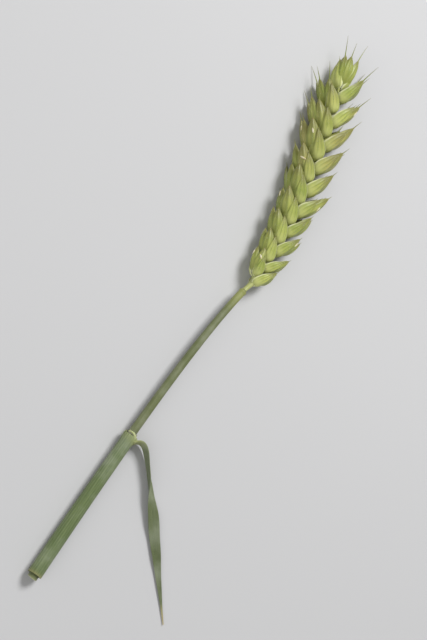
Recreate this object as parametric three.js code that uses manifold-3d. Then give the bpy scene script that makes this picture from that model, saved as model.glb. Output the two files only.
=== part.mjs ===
// A green, beardless wheat ear, picked with a short length of stalk and its flag leaf, lying on a surface.
// Millimetres, +Z up, z = 0 is that surface. The stalk runs along +Y from its cut end to the tip of the ear.
// Three grown pieces: the ear (rachis and spikelets), the hollow stem, and the flag leaf (sheath and blade).
import * as THREE from "three";
import { mergeVertices } from "three/addons/utils/BufferGeometryUtils.js";
import Module from "manifold-3d";

const wasm = await Module();
wasm.setup();

// Place of the ear's foot on the surface, which puts the origin under the middle of the whole stalk
const EAR_FOOT_X = -9.1;
const EAR_FOOT_Y = 7.75;

// Ear: its axis is one smooth curve, level above the surface
const EAR_LENGTH = 76;
const EAR_AXIS_HEIGHT = 4.75;
const EAR_HEADING = -5;
const EAR_FOOT_HEADING = 14;
const EAR_TIP_HEADING = -14;
const EAR_FOOT_HANDLE = 17;
const EAR_TIP_HANDLE = 30;

// Spikelets stand singly on the rachis, left and right in turn, and one more ends it
const LATERAL_SPIKELETS = 19;
const NECK_LENGTH = 4;
const LOWEST_LEAN = 18;
const HIGHEST_LEAN = 25;
const SPIKELET_FOOT_OUT = 0.6;
const CROWDING_POWER = 1.16;
const LOWEST_SIZE = 0.54;
const HIGHEST_SIZE = 0.9;
const LOW_TAPER = 0.6;
const HIGH_TAPER = 0.25;
const SHORTEST_AWN = 0.8;
const LONGEST_AWN = 6.5;
const AWN_GROWTH_POWER = 3;
const TERMINAL_SPREAD_SHARE = 0.8;

// Spread of the seeded draws that keep any two spikelets from being alike
const SEED = 41;
const DRAW_FACTOR = 16807;
const DRAW_MODULUS = 2147483647;
const LEAN_DRAW = 3;
const SIZE_DRAW = 0.04;
const TURN_DRAW = 4;
const BRACT_ANGLE_DRAW = 2.5;
const BRACT_SIZE_DRAW = 0.05;

// Rachis: a flattened zigzag
const RACHIS_HALF_DEPTH = 1.05;
const RACHIS_HALF_WIDTH = 0.75;
const RACHIS_ZIGZAG = 0.45;
const RACHIS_SIDES = 6;
const RACHIS_TOP_SHARE = 0.6;
const RACHIS_RINGS_PER_STEP = 2;

// One bract of a spikelet is a plump pointed boat: a rounded foot, widest below the middle, a fine tip
const BRACT_SIDES = 6;
const BRACT_RINGS = [0.09, 0.34, 0.68, 0.93];
const BRACT_FOOT_POWER = 0.55;
const BRACT_TIP_POWER = 0.9;
const AWN_ROOT_SHARE = 0.16;
const BRACT_BOW = 0.45;

// The bracts of one spikelet: where the foot stands (along the spikelet, out from the rachis, across to one
// side), the angles by which it leans out, spreads sideways and faces, its size, and its share of the awn
const GLUME = {
  foot: { along: -0.9, out: 0, across: 0.7 },
  angles: { lean: 0, spread: 20, facing: 22 },
  size: { length: 10.8, halfWidth: 2.6, halfDepth: 1.4 },
  sides: [1, -1],
  awnShare: 0,
};
const SIDE_FLORET = {
  foot: { along: 0.3, out: 0.7, across: 0.6 },
  angles: { lean: 3, spread: 13, facing: 38 },
  size: { length: 12, halfWidth: 2.4, halfDepth: 1.6 },
  sides: [1, -1],
  awnShare: 1,
};
const MIDDLE_FLORET = {
  foot: { along: 1.2, out: 1.2, across: 0 },
  angles: { lean: 6, spread: 0, facing: 90 },
  size: { length: 11.2, halfWidth: 2.2, halfDepth: 1.7 },
  sides: [0],
  awnShare: 0.7,
};

// Stem: a tapering straw, hollow at the cut
const STEM_LENGTH = 109;
const STEM_HEADING = 6;
const STEM_CUT_HEADING = 4;
const STEM_CUT_HANDLE = 42;
const STEM_TOP_HANDLE = 24;
const STEM_CUT_RADIUS = 1.55;
const STEM_TOP_RADIUS = 1.15;
const STEM_COLLAR_RADIUS = 1.35;
const STEM_COLLAR_LENGTH = 1.6;
const STEM_BORE_RADIUS = 0.8;
const STEM_BORE_DEPTH = 9;
const STEM_SIDES = 10;
const STEM_RINGS = 26;

// Flag leaf: a sheath rolled round the lower stem, and a narrow blade bent back from the sheath's mouth
const GROWING_GAP = 0.3;
const SHEATH_START = 1.2;
const SHEATH_LENGTH = 50;
const SHEATH_WALL = 0.6;
const SHEATH_MOUTH_FLARE = 0.25;
const SHEATH_MOUTH_LENGTH = 4;
const SHEATH_RINGS = 12;
const BLADE_LENGTH = 56;
const BLADE_HALF_WIDTH = 2.1;
const BLADE_ROOT_HALF_WIDTH = 2;
const BLADE_TIP_HALF_WIDTH = 0.35;
const BLADE_BELLY = 0.3;
const BLADE_TAPER_START = 0.4;
const BLADE_TAPER_END = 1.05;
const BLADE_THICKNESS = 0.6;
const BLADE_TIP_HEIGHT = 0.4;
const BLADE_ROOT_SUNK = 2;
const BLADE_HEADING = 135;
const BLADE_ROOT_HEADING = 40;
const BLADE_TIP_HEADING = 140;
const BLADE_ROOT_HANDLE = 6;
const BLADE_TIP_HANDLE = 50;
const BLADE_ROOT_CURL = 62;
const BLADE_CURL = 24;
const BLADE_UNCURLED = 0.2;
const BLADE_TWIST_START = 0.08;
const BLADE_TWIST_END = 0.55;
const BLADE_COLUMNS = 4;
const BLADE_ROWS = 26;
const BLADE_ROW_POWER = 1.7;

// Vertices closer than this are one, and the block that cuts solids off at the surface is this large
const WELD = 1e-4;
const CUTTER_SIZE = 400;

const UP = new THREE.Vector3(0, 0, 1);
const EAR_FOOT = new THREE.Vector3(EAR_FOOT_X, EAR_FOOT_Y, EAR_AXIS_HEIGHT);
const radians = THREE.MathUtils.degToRad;
const mix = THREE.MathUtils.lerp;

// Level unit vector of a heading, in degrees from +Y towards +X
function heading(degrees) {
  return new THREE.Vector3(Math.sin(radians(degrees)), Math.cos(radians(degrees)), 0);
}

// A point moved some way along a direction
function moved(point, direction, distance) {
  return point.clone().addScaledVector(direction, distance);
}

// Smooth step from 0 at low to 1 at high
function smooth(value, low, high) {
  return THREE.MathUtils.smoothstep(value, low, high);
}

// Seeded draw, even between -1 and 1
let drawState = SEED;
function draw() {
  drawState = (drawState * DRAW_FACTOR) % DRAW_MODULUS;
  return (2 * drawState) / DRAW_MODULUS - 1;
}

// Closed three.js geometry as a solid that can be joined and cut
function toSolid(geometry) {
  const bare = new THREE.BufferGeometry().setAttribute("position", geometry.getAttribute("position"));
  bare.setIndex(geometry.getIndex());
  const merged = mergeVertices(bare, WELD);
  const corners = merged.getIndex().array;
  const kept = [];
  for (let i = 0; i < corners.length; i += 3) {
    const [a, b, c] = corners.slice(i, i + 3);
    if (a !== b && b !== c && c !== a) kept.push(a, b, c);
  }
  const vertProperties = new Float32Array(merged.getAttribute("position").array);
  return new wasm.Manifold(new wasm.Mesh({ numProp: 3, vertProperties, triVerts: new Uint32Array(kept) }));
}

// Solid as a three.js geometry
function toGeometry(solid) {
  const mesh = solid.getMesh();
  const geometry = new THREE.BufferGeometry();
  geometry.setAttribute("position", new THREE.BufferAttribute(mesh.vertProperties, 3));
  geometry.setIndex(new THREE.BufferAttribute(mesh.triVerts, 1));
  geometry.computeVertexNormals();
  return geometry;
}

// All solids of a list joined into one
function joined(solids) {
  return solids.reduce((whole, solid) => whole.add(solid));
}

// A solid cut off level at the surface that the stalk lies on, which leaves small flats where it rests
function restingOnSurface(solid) {
  const below = new THREE.BoxGeometry(CUTTER_SIZE, CUTTER_SIZE, CUTTER_SIZE);
  return solid.subtract(toSolid(below.translate(0, 0, -CUTTER_SIZE / 2)));
}

// A curve's point with its own axes, some distance along it: along the curve, level to its right, and up
function frameAt(curve, distance) {
  const share = THREE.MathUtils.clamp(distance / curve.getLength(), 0, 1);
  const along = curve.getTangentAt(share);
  const right = along.clone().cross(UP).normalize();
  const up = right.clone().cross(along);
  return { origin: curve.getPointAt(share), along, right, up };
}

// Moves every vertex of a geometry through a function of its own place
function reshaped(geometry, place) {
  const position = geometry.getAttribute("position");
  const point = new THREE.Vector3();
  for (let i = 0; i < position.count; i++) {
    point.fromBufferAttribute(position, i);
    position.setXYZ(i, ...place(point).toArray());
  }
  return geometry;
}

// Bends a straight geometry, built along +Y, onto a curve
function bentAlong(geometry, curve, start = 0) {
  return reshaped(geometry, (p) => {
    const f = frameAt(curve, start + p.y);
    return f.origin.addScaledVector(f.right, p.x).addScaledVector(f.up, p.z);
  });
}

// Turned geometry about +Y from a list of [radius, height]
function turned(profile, sides) {
  return new THREE.LatheGeometry(profile.map(([radius, height]) => new THREE.Vector2(radius, height)), sides);
}

// Curves of the stalk: stem and ear meet at the ear's foot with one tangent
const stemCut = moved(EAR_FOOT, heading(STEM_HEADING), -STEM_LENGTH);
stemCut.z = STEM_CUT_RADIUS + GROWING_GAP + SHEATH_WALL;
const stemCurve = new THREE.CubicBezierCurve3(
  stemCut,
  moved(stemCut, heading(STEM_CUT_HEADING), STEM_CUT_HANDLE),
  moved(EAR_FOOT, heading(EAR_FOOT_HEADING), -STEM_TOP_HANDLE),
  EAR_FOOT,
);
const earTip = moved(EAR_FOOT, heading(EAR_HEADING), EAR_LENGTH);
const earCurve = new THREE.CubicBezierCurve3(
  EAR_FOOT,
  moved(EAR_FOOT, heading(EAR_FOOT_HEADING), EAR_FOOT_HANDLE),
  moved(earTip, heading(EAR_TIP_HEADING), -EAR_TIP_HANDLE),
  earTip,
);

// Half-width of a bract as a share of its widest, from its foot at 0 to its tip at 1
function bractOutline(share) {
  const shape = (s) => s ** BRACT_FOOT_POWER * (1 - s) ** BRACT_TIP_POWER;
  return shape(share) / shape(BRACT_FOOT_POWER / (BRACT_FOOT_POWER + BRACT_TIP_POWER));
}

// One bract: a turned teardrop, flattened to its width and depth, bowed outwards, and set on its foot
function bractSolid({ foot, along, back, length, halfWidth, halfDepth, awn }) {
  const tipRing = BRACT_RINGS.length - 1;
  const rings = BRACT_RINGS.map((share, i) => {
    const radius = awn > 0 && i === tipRing ? AWN_ROOT_SHARE : bractOutline(share);
    return [radius, share * length];
  });
  const geometry = turned([[0, 0], ...rings, [0, length + awn]], BRACT_SIDES);
  const across = along.clone().cross(back);
  reshaped(geometry, (p) => {
    const share = Math.min(p.y / length, 1);
    const bow = BRACT_BOW * 4 * share * (1 - share);
    return moved(foot, along, p.y)
      .addScaledVector(across, p.x * halfWidth)
      .addScaledVector(back, p.z * halfDepth + bow);
  });
  return toSolid(geometry);
}

// The solids of one spikelet. Its frame says where its foot is, which way it points, which way is out from
// the rachis and which way its florets fan.
function spikeletSolids({ foot, along, out, fan, size, awn, spreadShare }) {
  const solids = [];
  for (const kind of [GLUME, SIDE_FLORET, MIDDLE_FLORET]) {
    const facing = radians(kind.angles.facing);
    for (const side of kind.sides) {
      const lean = radians(kind.angles.lean + BRACT_ANGLE_DRAW * draw());
      const spread = radians(side * kind.angles.spread * spreadShare + BRACT_ANGLE_DRAW * draw());
      const grown = size * (1 + BRACT_SIZE_DRAW * draw());
      const axis = along.clone().multiplyScalar(Math.cos(lean)).addScaledVector(out, Math.sin(lean));
      axis.multiplyScalar(Math.cos(spread)).addScaledVector(fan, Math.sin(spread)).normalize();
      const back = fan.clone().multiplyScalar(side * Math.cos(facing)).addScaledVector(out, Math.sin(facing));
      back.addScaledVector(axis, -back.dot(axis)).normalize();
      const root = moved(foot, along, kind.foot.along * size)
        .addScaledVector(out, kind.foot.out * size)
        .addScaledVector(fan, side * kind.foot.across * size * spreadShare);
      solids.push(
        bractSolid({
          foot: root,
          along: axis,
          back,
          length: kind.size.length * grown,
          halfWidth: kind.size.halfWidth * grown,
          halfDepth: kind.size.halfDepth * grown,
          awn: kind.awnShare * awn * (1 + BRACT_SIZE_DRAW * draw()),
        }),
      );
    }
  }
  return solids;
}

// Size of a spikelet by its place on the ear, from 0 at the lowest to 1 at the highest
function spikeletSize(share) {
  const low = mix(LOWEST_SIZE, 1, smooth(share, -LOW_TAPER / 2, LOW_TAPER));
  const high = mix(1, HIGHEST_SIZE, smooth(share, 1 - HIGH_TAPER, 1));
  return low * high;
}

// Side of the rachis that a spikelet stands on: 1 to the right of its axis, -1 to the left
const sideOf = (index) => (index % 2 === 0 ? 1 : -1);

// Distance along the ear of a spikelet's foot: they stand closer together low on the ear
function footDistance(index) {
  return mix(NECK_LENGTH, EAR_LENGTH, (index / LATERAL_SPIKELETS) ** CROWDING_POWER);
}

// Length of awn that a spikelet's florets carry, by its place on the ear
function awnLength(share) {
  return mix(SHORTEST_AWN, LONGEST_AWN, share ** AWN_GROWTH_POWER);
}

// The spikelets down both sides of the rachis
function lateralSpikelets() {
  const solids = [];
  for (let i = 0; i < LATERAL_SPIKELETS; i++) {
    const share = i / (LATERAL_SPIKELETS - 1);
    const f = frameAt(earCurve, footDistance(i));
    const lean = radians(mix(LOWEST_LEAN, HIGHEST_LEAN, share) + LEAN_DRAW * draw());
    const turn = radians(TURN_DRAW * draw());
    const outward = f.right.clone().multiplyScalar(sideOf(i));
    const along = f.along.clone().multiplyScalar(Math.cos(lean)).addScaledVector(outward, Math.sin(lean));
    const out = outward.clone().multiplyScalar(Math.cos(lean)).addScaledVector(f.along, -Math.sin(lean));
    solids.push(
      ...spikeletSolids({
        foot: moved(f.origin, outward, SPIKELET_FOOT_OUT),
        along,
        out: out.applyAxisAngle(along, turn),
        fan: f.up.clone().applyAxisAngle(along, turn),
        size: spikeletSize(share) * (1 + SIZE_DRAW * draw()),
        awn: awnLength(share),
        spreadShare: 1,
      }),
    );
  }
  return solids;
}

// The spikelet that ends the ear, a quarter turn from the others
function terminalSpikelet() {
  const f = frameAt(earCurve, EAR_LENGTH);
  return spikeletSolids({
    foot: moved(f.origin, f.up, -SPIKELET_FOOT_OUT),
    along: f.along,
    out: f.up,
    fan: f.right,
    size: HIGHEST_SIZE,
    awn: LONGEST_AWN,
    spreadShare: TERMINAL_SPREAD_SHARE,
  });
}

// The rachis: a flattened rod that swings from side to side, out to each spikelet's foot
function rachisSolid() {
  const bends = [frameAt(earCurve, 0).origin];
  for (let i = 0; i < LATERAL_SPIKELETS; i++) {
    const f = frameAt(earCurve, footDistance(i));
    bends.push(moved(f.origin, f.right, sideOf(i) * RACHIS_ZIGZAG));
  }
  bends.push(earTip);
  const curve = new THREE.CatmullRomCurve3(bends);
  const length = curve.getLength();
  const steps = LATERAL_SPIKELETS * RACHIS_RINGS_PER_STEP;
  const rings = [];
  for (let i = 0; i <= steps; i++) {
    const share = i / steps;
    rings.push([mix(1, RACHIS_TOP_SHARE, share), mix(GROWING_GAP, length, share)]);
  }
  const geometry = turned([[0, GROWING_GAP], ...rings, [0, length]], RACHIS_SIDES);
  geometry.scale(RACHIS_HALF_WIDTH, 1, RACHIS_HALF_DEPTH);
  return toSolid(bentAlong(geometry, curve));
}

function makeEar() {
  const solid = joined([rachisSolid(), ...lateralSpikelets(), ...terminalSpikelet()]);
  const material = new THREE.MeshStandardMaterial({ color: 0x9aa063, roughness: 0.62, metalness: 0 });
  const mesh = new THREE.Mesh(toGeometry(restingOnSurface(solid)), material);
  mesh.name = "ear";
  return mesh;
}

// Radius of the bare stem some distance from its cut, narrowing upwards to a small collar under the ear
function stemRadius(distance) {
  const taper = mix(STEM_CUT_RADIUS, STEM_TOP_RADIUS, distance / stemCurve.getLength());
  const collar = smooth(distance, stemCurve.getLength() - STEM_COLLAR_LENGTH, stemCurve.getLength());
  return mix(taper, STEM_COLLAR_RADIUS, collar);
}

function makeStem() {
  const length = stemCurve.getLength();
  const wall = [];
  for (let i = 0; i <= STEM_RINGS; i++) {
    const distance = (length * i) / STEM_RINGS;
    wall.push([stemRadius(distance), distance]);
  }
  const bore = [[0, STEM_BORE_DEPTH], [STEM_BORE_RADIUS, STEM_BORE_DEPTH], [STEM_BORE_RADIUS, 0]];
  const geometry = bentAlong(turned([...bore, ...wall, [0, length]], STEM_SIDES), stemCurve);
  const material = new THREE.MeshStandardMaterial({ color: 0x6f7a4c, roughness: 0.5, metalness: 0 });
  const mesh = new THREE.Mesh(geometry, material);
  mesh.name = "stem";
  return mesh;
}

// The sheath: a tube that follows the stem with a small gap, flaring a little at its mouth
function sheathSolid() {
  const inner = [];
  const outer = [];
  for (let i = 0; i <= SHEATH_RINGS; i++) {
    const height = (SHEATH_LENGTH * i) / SHEATH_RINGS;
    const flare = SHEATH_MOUTH_FLARE * smooth(height, SHEATH_LENGTH - SHEATH_MOUTH_LENGTH, SHEATH_LENGTH);
    const radius = stemRadius(SHEATH_START + height) + GROWING_GAP + flare;
    inner.push([radius, height]);
    outer.push([radius + SHEATH_WALL, height]);
  }
  const profile = [...outer, ...inner.reverse(), outer[0]];
  return toSolid(bentAlong(turned(profile, STEM_SIDES), stemCurve, SHEATH_START));
}

// Half-width of the blade, from its root at 0 to its tip at 1
function bladeHalfWidth(share) {
  const belly = mix(BLADE_ROOT_HALF_WIDTH, BLADE_HALF_WIDTH, smooth(share, 0, BLADE_BELLY));
  return mix(belly, BLADE_TIP_HALF_WIDTH, smooth(share, BLADE_TAPER_START, BLADE_TAPER_END));
}

// The blade: a strip that leaves the sheath's mouth curled round the stem, bends sharply back, and turns from
// standing on its edge to lying flat
function bladeSolid() {
  const mouth = frameAt(stemCurve, SHEATH_START + SHEATH_LENGTH - BLADE_ROOT_SUNK);
  const wallRadius = stemRadius(SHEATH_START + SHEATH_LENGTH) + GROWING_GAP + SHEATH_MOUTH_FLARE;
  const root = moved(mouth.origin, mouth.right, wallRadius + BLADE_THICKNESS / 2);
  const tip = moved(root, heading(BLADE_HEADING), BLADE_LENGTH);
  tip.z = BLADE_TIP_HEIGHT;
  const curve = new THREE.CubicBezierCurve3(
    root,
    moved(root, heading(BLADE_ROOT_HEADING), BLADE_ROOT_HANDLE),
    moved(tip, heading(BLADE_TIP_HEADING), -BLADE_TIP_HANDLE),
    tip,
  );
  const place = (across, step, face) => {
    const share = step ** BLADE_ROW_POWER;
    const f = frameAt(curve, share * curve.getLength());
    const twist = radians(90) * smooth(share, BLADE_TWIST_START, BLADE_TWIST_END);
    const width = f.up.clone().multiplyScalar(Math.cos(twist)).addScaledVector(f.right, Math.sin(twist));
    const upper = f.up.clone().multiplyScalar(Math.sin(twist)).addScaledVector(f.right, -Math.cos(twist));
    const curl = radians(mix(BLADE_ROOT_CURL, BLADE_CURL, smooth(share, 0, BLADE_UNCURLED)));
    const radius = bladeHalfWidth(share) / curl;
    const ring = radius - (face * BLADE_THICKNESS) / 2;
    return f.origin
      .addScaledVector(width, ring * Math.sin(across * curl))
      .addScaledVector(upper, radius - ring * Math.cos(across * curl));
  };
  return toSolid(plate(place, BLADE_COLUMNS, BLADE_ROWS));
}

// A thin closed plate from a function of across (-1 to 1), step (0 to 1) and face (1 or -1). Both faces are
// split into triangles alike, so that a bent plate never crosses itself.
function plate(place, columns, rows) {
  const points = [];
  const index = [];
  const faceSize = (columns + 1) * (rows + 1);
  const at = (column, row, face) => (face > 0 ? 0 : faceSize) + row * (columns + 1) + column;
  for (const face of [1, -1])
    for (let row = 0; row <= rows; row++)
      for (let column = 0; column <= columns; column++)
        points.push(place((2 * column) / columns - 1, row / rows, face));
  const quad = (a, b, c, d) => index.push(a, b, c, a, c, d);
  for (let row = 0; row < rows; row++)
    for (let column = 0; column < columns; column++) {
      const corners = [[column, row], [column + 1, row], [column + 1, row + 1], [column, row + 1]];
      const [a, b, c, d] = corners.map(([x, y]) => at(x, y, 1));
      const [e, f, g, h] = corners.map(([x, y]) => at(x, y, -1));
      quad(a, b, c, d);
      index.push(e, g, f, e, h, g);
    }
  for (let row = 0; row < rows; row++) {
    quad(at(0, row, 1), at(0, row + 1, 1), at(0, row + 1, -1), at(0, row, -1));
    quad(at(columns, row, -1), at(columns, row + 1, -1), at(columns, row + 1, 1), at(columns, row, 1));
  }
  for (let column = 0; column < columns; column++) {
    quad(at(column, 0, -1), at(column + 1, 0, -1), at(column + 1, 0, 1), at(column, 0, 1));
    quad(at(column, rows, 1), at(column + 1, rows, 1), at(column + 1, rows, -1), at(column, rows, -1));
  }
  const geometry = new THREE.BufferGeometry().setFromPoints(points);
  return geometry.setIndex(index);
}

function makeFlagLeaf() {
  const solid = restingOnSurface(sheathSolid().add(bladeSolid()));
  const material = new THREE.MeshStandardMaterial({ color: 0x737f55, roughness: 0.55, metalness: 0 });
  const mesh = new THREE.Mesh(toGeometry(solid), material);
  mesh.name = "flag_leaf";
  return mesh;
}

const wheat = new THREE.Group();
wheat.name = "wheat_ear";
wheat.add(makeEar(), makeStem(), makeFlagLeaf());

export default wheat;
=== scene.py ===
"""Looks of a green, beardless wheat ear on its cut stalk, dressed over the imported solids.

The ear's chaff, the ribbed straw and the flag leaf are surfaces worked out with numpy. Sizes are
millimetres, as in the part's own source, and make_piece turns them into metres once. Angles are degrees where
a field holds them, and a heading is counted from +Y towards +X.
"""

import logging
import math
from collections.abc import Iterator
from dataclasses import dataclass, field, replace
from enum import Enum
from typing import Union

import bpy
import numpy as np
from mathutils import Matrix, Vector


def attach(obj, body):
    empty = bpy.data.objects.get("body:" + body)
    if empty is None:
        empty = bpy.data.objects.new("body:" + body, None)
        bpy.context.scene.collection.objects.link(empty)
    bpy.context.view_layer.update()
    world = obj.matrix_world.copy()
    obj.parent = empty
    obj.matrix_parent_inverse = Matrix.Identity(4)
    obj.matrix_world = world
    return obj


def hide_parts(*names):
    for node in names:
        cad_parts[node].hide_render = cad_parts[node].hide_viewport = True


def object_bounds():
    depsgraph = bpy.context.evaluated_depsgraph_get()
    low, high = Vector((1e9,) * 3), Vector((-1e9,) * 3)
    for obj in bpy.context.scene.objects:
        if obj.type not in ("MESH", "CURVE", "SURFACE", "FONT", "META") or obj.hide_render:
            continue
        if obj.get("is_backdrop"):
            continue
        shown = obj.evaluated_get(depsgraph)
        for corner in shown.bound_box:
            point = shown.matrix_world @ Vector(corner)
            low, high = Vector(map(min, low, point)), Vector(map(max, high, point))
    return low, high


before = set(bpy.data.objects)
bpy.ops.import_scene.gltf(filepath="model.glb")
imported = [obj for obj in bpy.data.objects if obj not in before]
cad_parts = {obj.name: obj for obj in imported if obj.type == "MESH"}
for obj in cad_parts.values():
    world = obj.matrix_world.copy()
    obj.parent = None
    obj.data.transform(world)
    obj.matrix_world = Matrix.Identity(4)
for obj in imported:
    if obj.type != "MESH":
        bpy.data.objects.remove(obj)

CAD_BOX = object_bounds()
MM = 0.001
CREASE = 50.0
SURFACE_CLEARANCE = 0.02
UP = np.array([0.0, 0.0, 1.0])
LOG = logging.getLogger("wheat_ear")

Array = np.ndarray
Colour = tuple[float, float, float]
Range = tuple[float, float]


class Body(Enum):
    """The rigid body that every piece rides on."""

    STALK = "root"


class Node(Enum):
    """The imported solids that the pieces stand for."""

    EAR = "ear"
    STEM = "stem"
    LEAF = "flag_leaf"


class Slot(Enum):
    """The record's material slots."""

    EAR = "ear_green"
    STEM = "stem_green"
    LEAF = "leaf_green"


class Side(Enum):
    """Where a bract stands in its spikelet's fan."""

    UPPER = 1
    LOWER = -1
    MIDDLE = 0


def heading(degrees: float) -> Array:
    """Level unit vector of a heading."""
    angle = math.radians(degrees)
    return np.array([math.sin(angle), math.cos(angle), 0.0])


def mix(low: Array | float, high: Array | float, share: Array | float) -> Array | float:
    """Value between low and high, at share 0 and 1."""
    return low + (high - low) * share


def smooth(value: Array | float, low: float, high: float) -> Array:
    """Smooth step: 3t^2 - 2t^3 of the share t of value between low and high, held to 0..1."""
    share = np.clip((np.asarray(value, float) - low) / (high - low), 0.0, 1.0)
    return share * share * (3.0 - 2.0 * share)


def hump(value: Array, middle: Array | float, width: float) -> Array:
    """Bell curve exp(-((value - middle) / width)^2)."""
    return np.exp(-(((value - middle) / width) ** 2))


def unit(vectors: Array) -> Array:
    """Vectors scaled to length 1."""
    return vectors / np.linalg.norm(vectors, axis=-1, keepdims=True)


def turned(vector: Array, axis: Array, angle: float) -> Array:
    """Vector turned about a unit axis: v cos a + (k x v) sin a + k (k.v)(1 - cos a).

    Args:
        vector: the vector to turn.
        axis: unit vector of the axis.
        angle: angle in radians, by the right-hand rule.

    Returns:
        The turned vector.
    """
    cosine, sine = math.cos(angle), math.sin(angle)
    return vector * cosine + np.cross(axis, vector) * sine + axis * np.dot(axis, vector) * (1.0 - cosine)


def ring_angles(columns: int) -> Array:
    """Angles of a ring's columns, from 0 round to just under a full turn."""
    return np.arange(columns) * (2.0 * math.pi / columns)


def drawn_between(draws: np.random.Generator, limits: Range, shape: int | tuple[int, ...]) -> Array:
    """Even draws between two limits."""
    return mix(*limits, draws.random(shape))


class Draws:
    """Seeded even draws between -1 and 1, the same as the part's own source makes."""

    FACTOR = 16807
    MODULUS = 2147483647

    def __init__(self, seed: int) -> None:
        """Start from a seed."""
        self.state = seed

    def next(self) -> float:
        """The next draw: state times the factor, modulo the modulus, spread over -1..1."""
        self.state = self.state * self.FACTOR % self.MODULUS
        return 2.0 * self.state / self.MODULUS - 1.0


@dataclass(frozen=True)
class Frames:
    """Points of a curve with its axes there: along it, level to its right, and up."""

    origin: Array
    along: Array
    right: Array
    up: Array

    def beside(self, side: Array, lift: Array) -> Array:
        """Points moved to the right by side and up by lift, which spread over the frames."""
        return self.origin + self.right * side[..., None] + self.up * lift[..., None]

    def around(self, reach: Array, angle: Array) -> Array:
        """Points some reach from the curve, at angles from the right, anticlockwise seen from ahead."""
        return self.beside(reach * np.cos(angle), -reach * np.sin(angle))


class Spine:
    """A cubic Bezier curve that is walked by distance."""

    STEPS = 1200

    def __init__(self, start: Array, leave: Array, arrive: Array, end: Array) -> None:
        """Keep the four control points and a table of distance against the curve's own parameter.

        Args:
            start: where the curve starts.
            leave: the handle it leaves the start towards.
            arrive: the handle it comes to the end from.
            end: where the curve ends.
        """
        self.control = np.array([start, leave, arrive, end], float)
        self.share = np.linspace(0.0, 1.0, self.STEPS)
        steps = np.linalg.norm(np.diff(self._points(self.share), axis=0), axis=1)
        self.distance = np.concatenate([[0.0], np.cumsum(steps)])

    @property
    def length(self) -> float:
        """Length of the curve."""
        return float(self.distance[-1])

    def _points(self, t: Array) -> Array:
        """Points sum of B_i(t) P_i, with the Bernstein weights of degree 3.

        Args:
            t: values of the curve's own parameter, of any shape.

        Returns:
            The points, with one more axis of 3.
        """
        s = 1.0 - t
        weights = np.stack([s**3, 3.0 * s * s * t, 3.0 * s * t * t, t**3], axis=-1)
        return weights @ self.control

    def _slopes(self, t: Array) -> Array:
        """Derivative of the points by t, but for a factor of 3.

        Args:
            t: values of the curve's own parameter, of any shape.

        Returns:
            The slopes, with one more axis of 3.
        """
        s = 1.0 - t
        weights = np.stack([s * s, 2.0 * s * t, t * t], axis=-1)
        return weights @ np.diff(self.control, axis=0)

    def frames(self, distance: Array | float) -> Frames:
        """Frames at some distances, carried straight on past both ends.

        Args:
            distance: distances along the curve, of any shape.

        Returns:
            The frames, with one more axis of 3 than distance has.
        """
        distance = np.asarray(distance, float)
        t = np.interp(distance, self.distance, self.share)
        beyond = distance - np.clip(distance, 0.0, self.length)
        along = unit(self._slopes(t))
        right = unit(np.cross(along, UP))
        origin = self._points(t) + along * beyond[..., None]
        return Frames(origin, along, right, np.cross(right, along))


@dataclass
class Surface:
    """A mesh in the making: points in millimetres, faces as arrays of corners, and values of the points."""

    points: Array
    faces: list[Array]
    values: dict[str, Array] = field(default_factory=dict)

    @staticmethod
    def joined(surfaces: list["Surface"]) -> "Surface":
        """Several surfaces in one, with the values that they all have.

        Args:
            surfaces: the surfaces to join.

        Returns:
            The one surface.
        """
        starts = np.cumsum([0] + [len(s.points) for s in surfaces[:-1]])
        names = set.intersection(*[set(s.values) for s in surfaces])
        return Surface(
            np.concatenate([s.points for s in surfaces]),
            [face + start for s, start in zip(surfaces, starts) for face in s.faces],
            {name: np.concatenate([s.values[name] for s in surfaces]) for name in sorted(names)},
        )

    def lifted(self) -> "Surface":
        """The surface with what lies lower than the clearance over the floor brought up to it."""
        self.points[:, 2] = np.maximum(self.points[:, 2], SURFACE_CLEARANCE)
        return self


def grid_quads(rows: int, columns: int, closed: bool) -> Array:
    """Corners of the faces of a grid of points, row by row.

    Args:
        rows: number of rows of points.
        columns: number of points in a row.
        closed: whether the last column joins the first.

    Returns:
        An m x 4 array. With columns to the right and rows upwards a face looks at the viewer.
    """
    row = np.arange(rows - 1)[:, None]
    column = np.arange(columns if closed else columns - 1)[None, :]
    beside = (column + 1) % columns
    low, high = row * columns, (row + 1) * columns
    return np.stack([low + column, low + beside, high + beside, high + column], axis=-1).reshape(-1, 4)


def repeated(faces: Array, copies: int, size: int) -> Array:
    """Corners of the same faces for several copies of size points each."""
    starts = np.arange(copies)[:, None, None] * size
    return (faces[None] + starts).reshape(-1, faces.shape[1])


def thick_sheets(upper: Array, lower: Array, values: dict[str, Array]) -> Surface:
    """Thin closed sheets: an upper and a lower grid, joined all round by a rim.

    Args:
        upper: copies x rows x columns x 3 points of the outer face.
        lower: the same for the inner face.
        values: values by name, which can be spread to copies x rows x columns.

    Returns:
        The surface, with "inner" among its values: 0 on the upper face and 1 on the lower.
    """
    copies, rows, columns, _ = upper.shape
    half = rows * columns
    top = grid_quads(rows, columns, closed=False)
    loop = np.concatenate(
        [
            np.arange(columns - 1),
            np.arange(rows - 1) * columns + columns - 1,
            half - 1 - np.arange(columns - 1),
            (rows - 1 - np.arange(rows - 1)) * columns,
        ]
    )
    after = np.roll(loop, -1)
    rim = np.stack([after, loop, loop + half, after + half], axis=-1)
    faces = np.concatenate([top, top[:, ::-1] + half, rim])
    points = np.stack([upper, lower], axis=1).reshape(-1, 3)
    kept = {name: np.broadcast_to(v, (copies, rows, columns))[:, None] for name, v in values.items()}
    kept["inner"] = np.array([0.0, 1.0])[None, :, None, None]
    flat = {name: np.broadcast_to(v, (copies, 2, rows, columns)).reshape(-1) for name, v in kept.items()}
    return Surface(points, [repeated(faces, copies, 2 * half)], flat)


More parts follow.
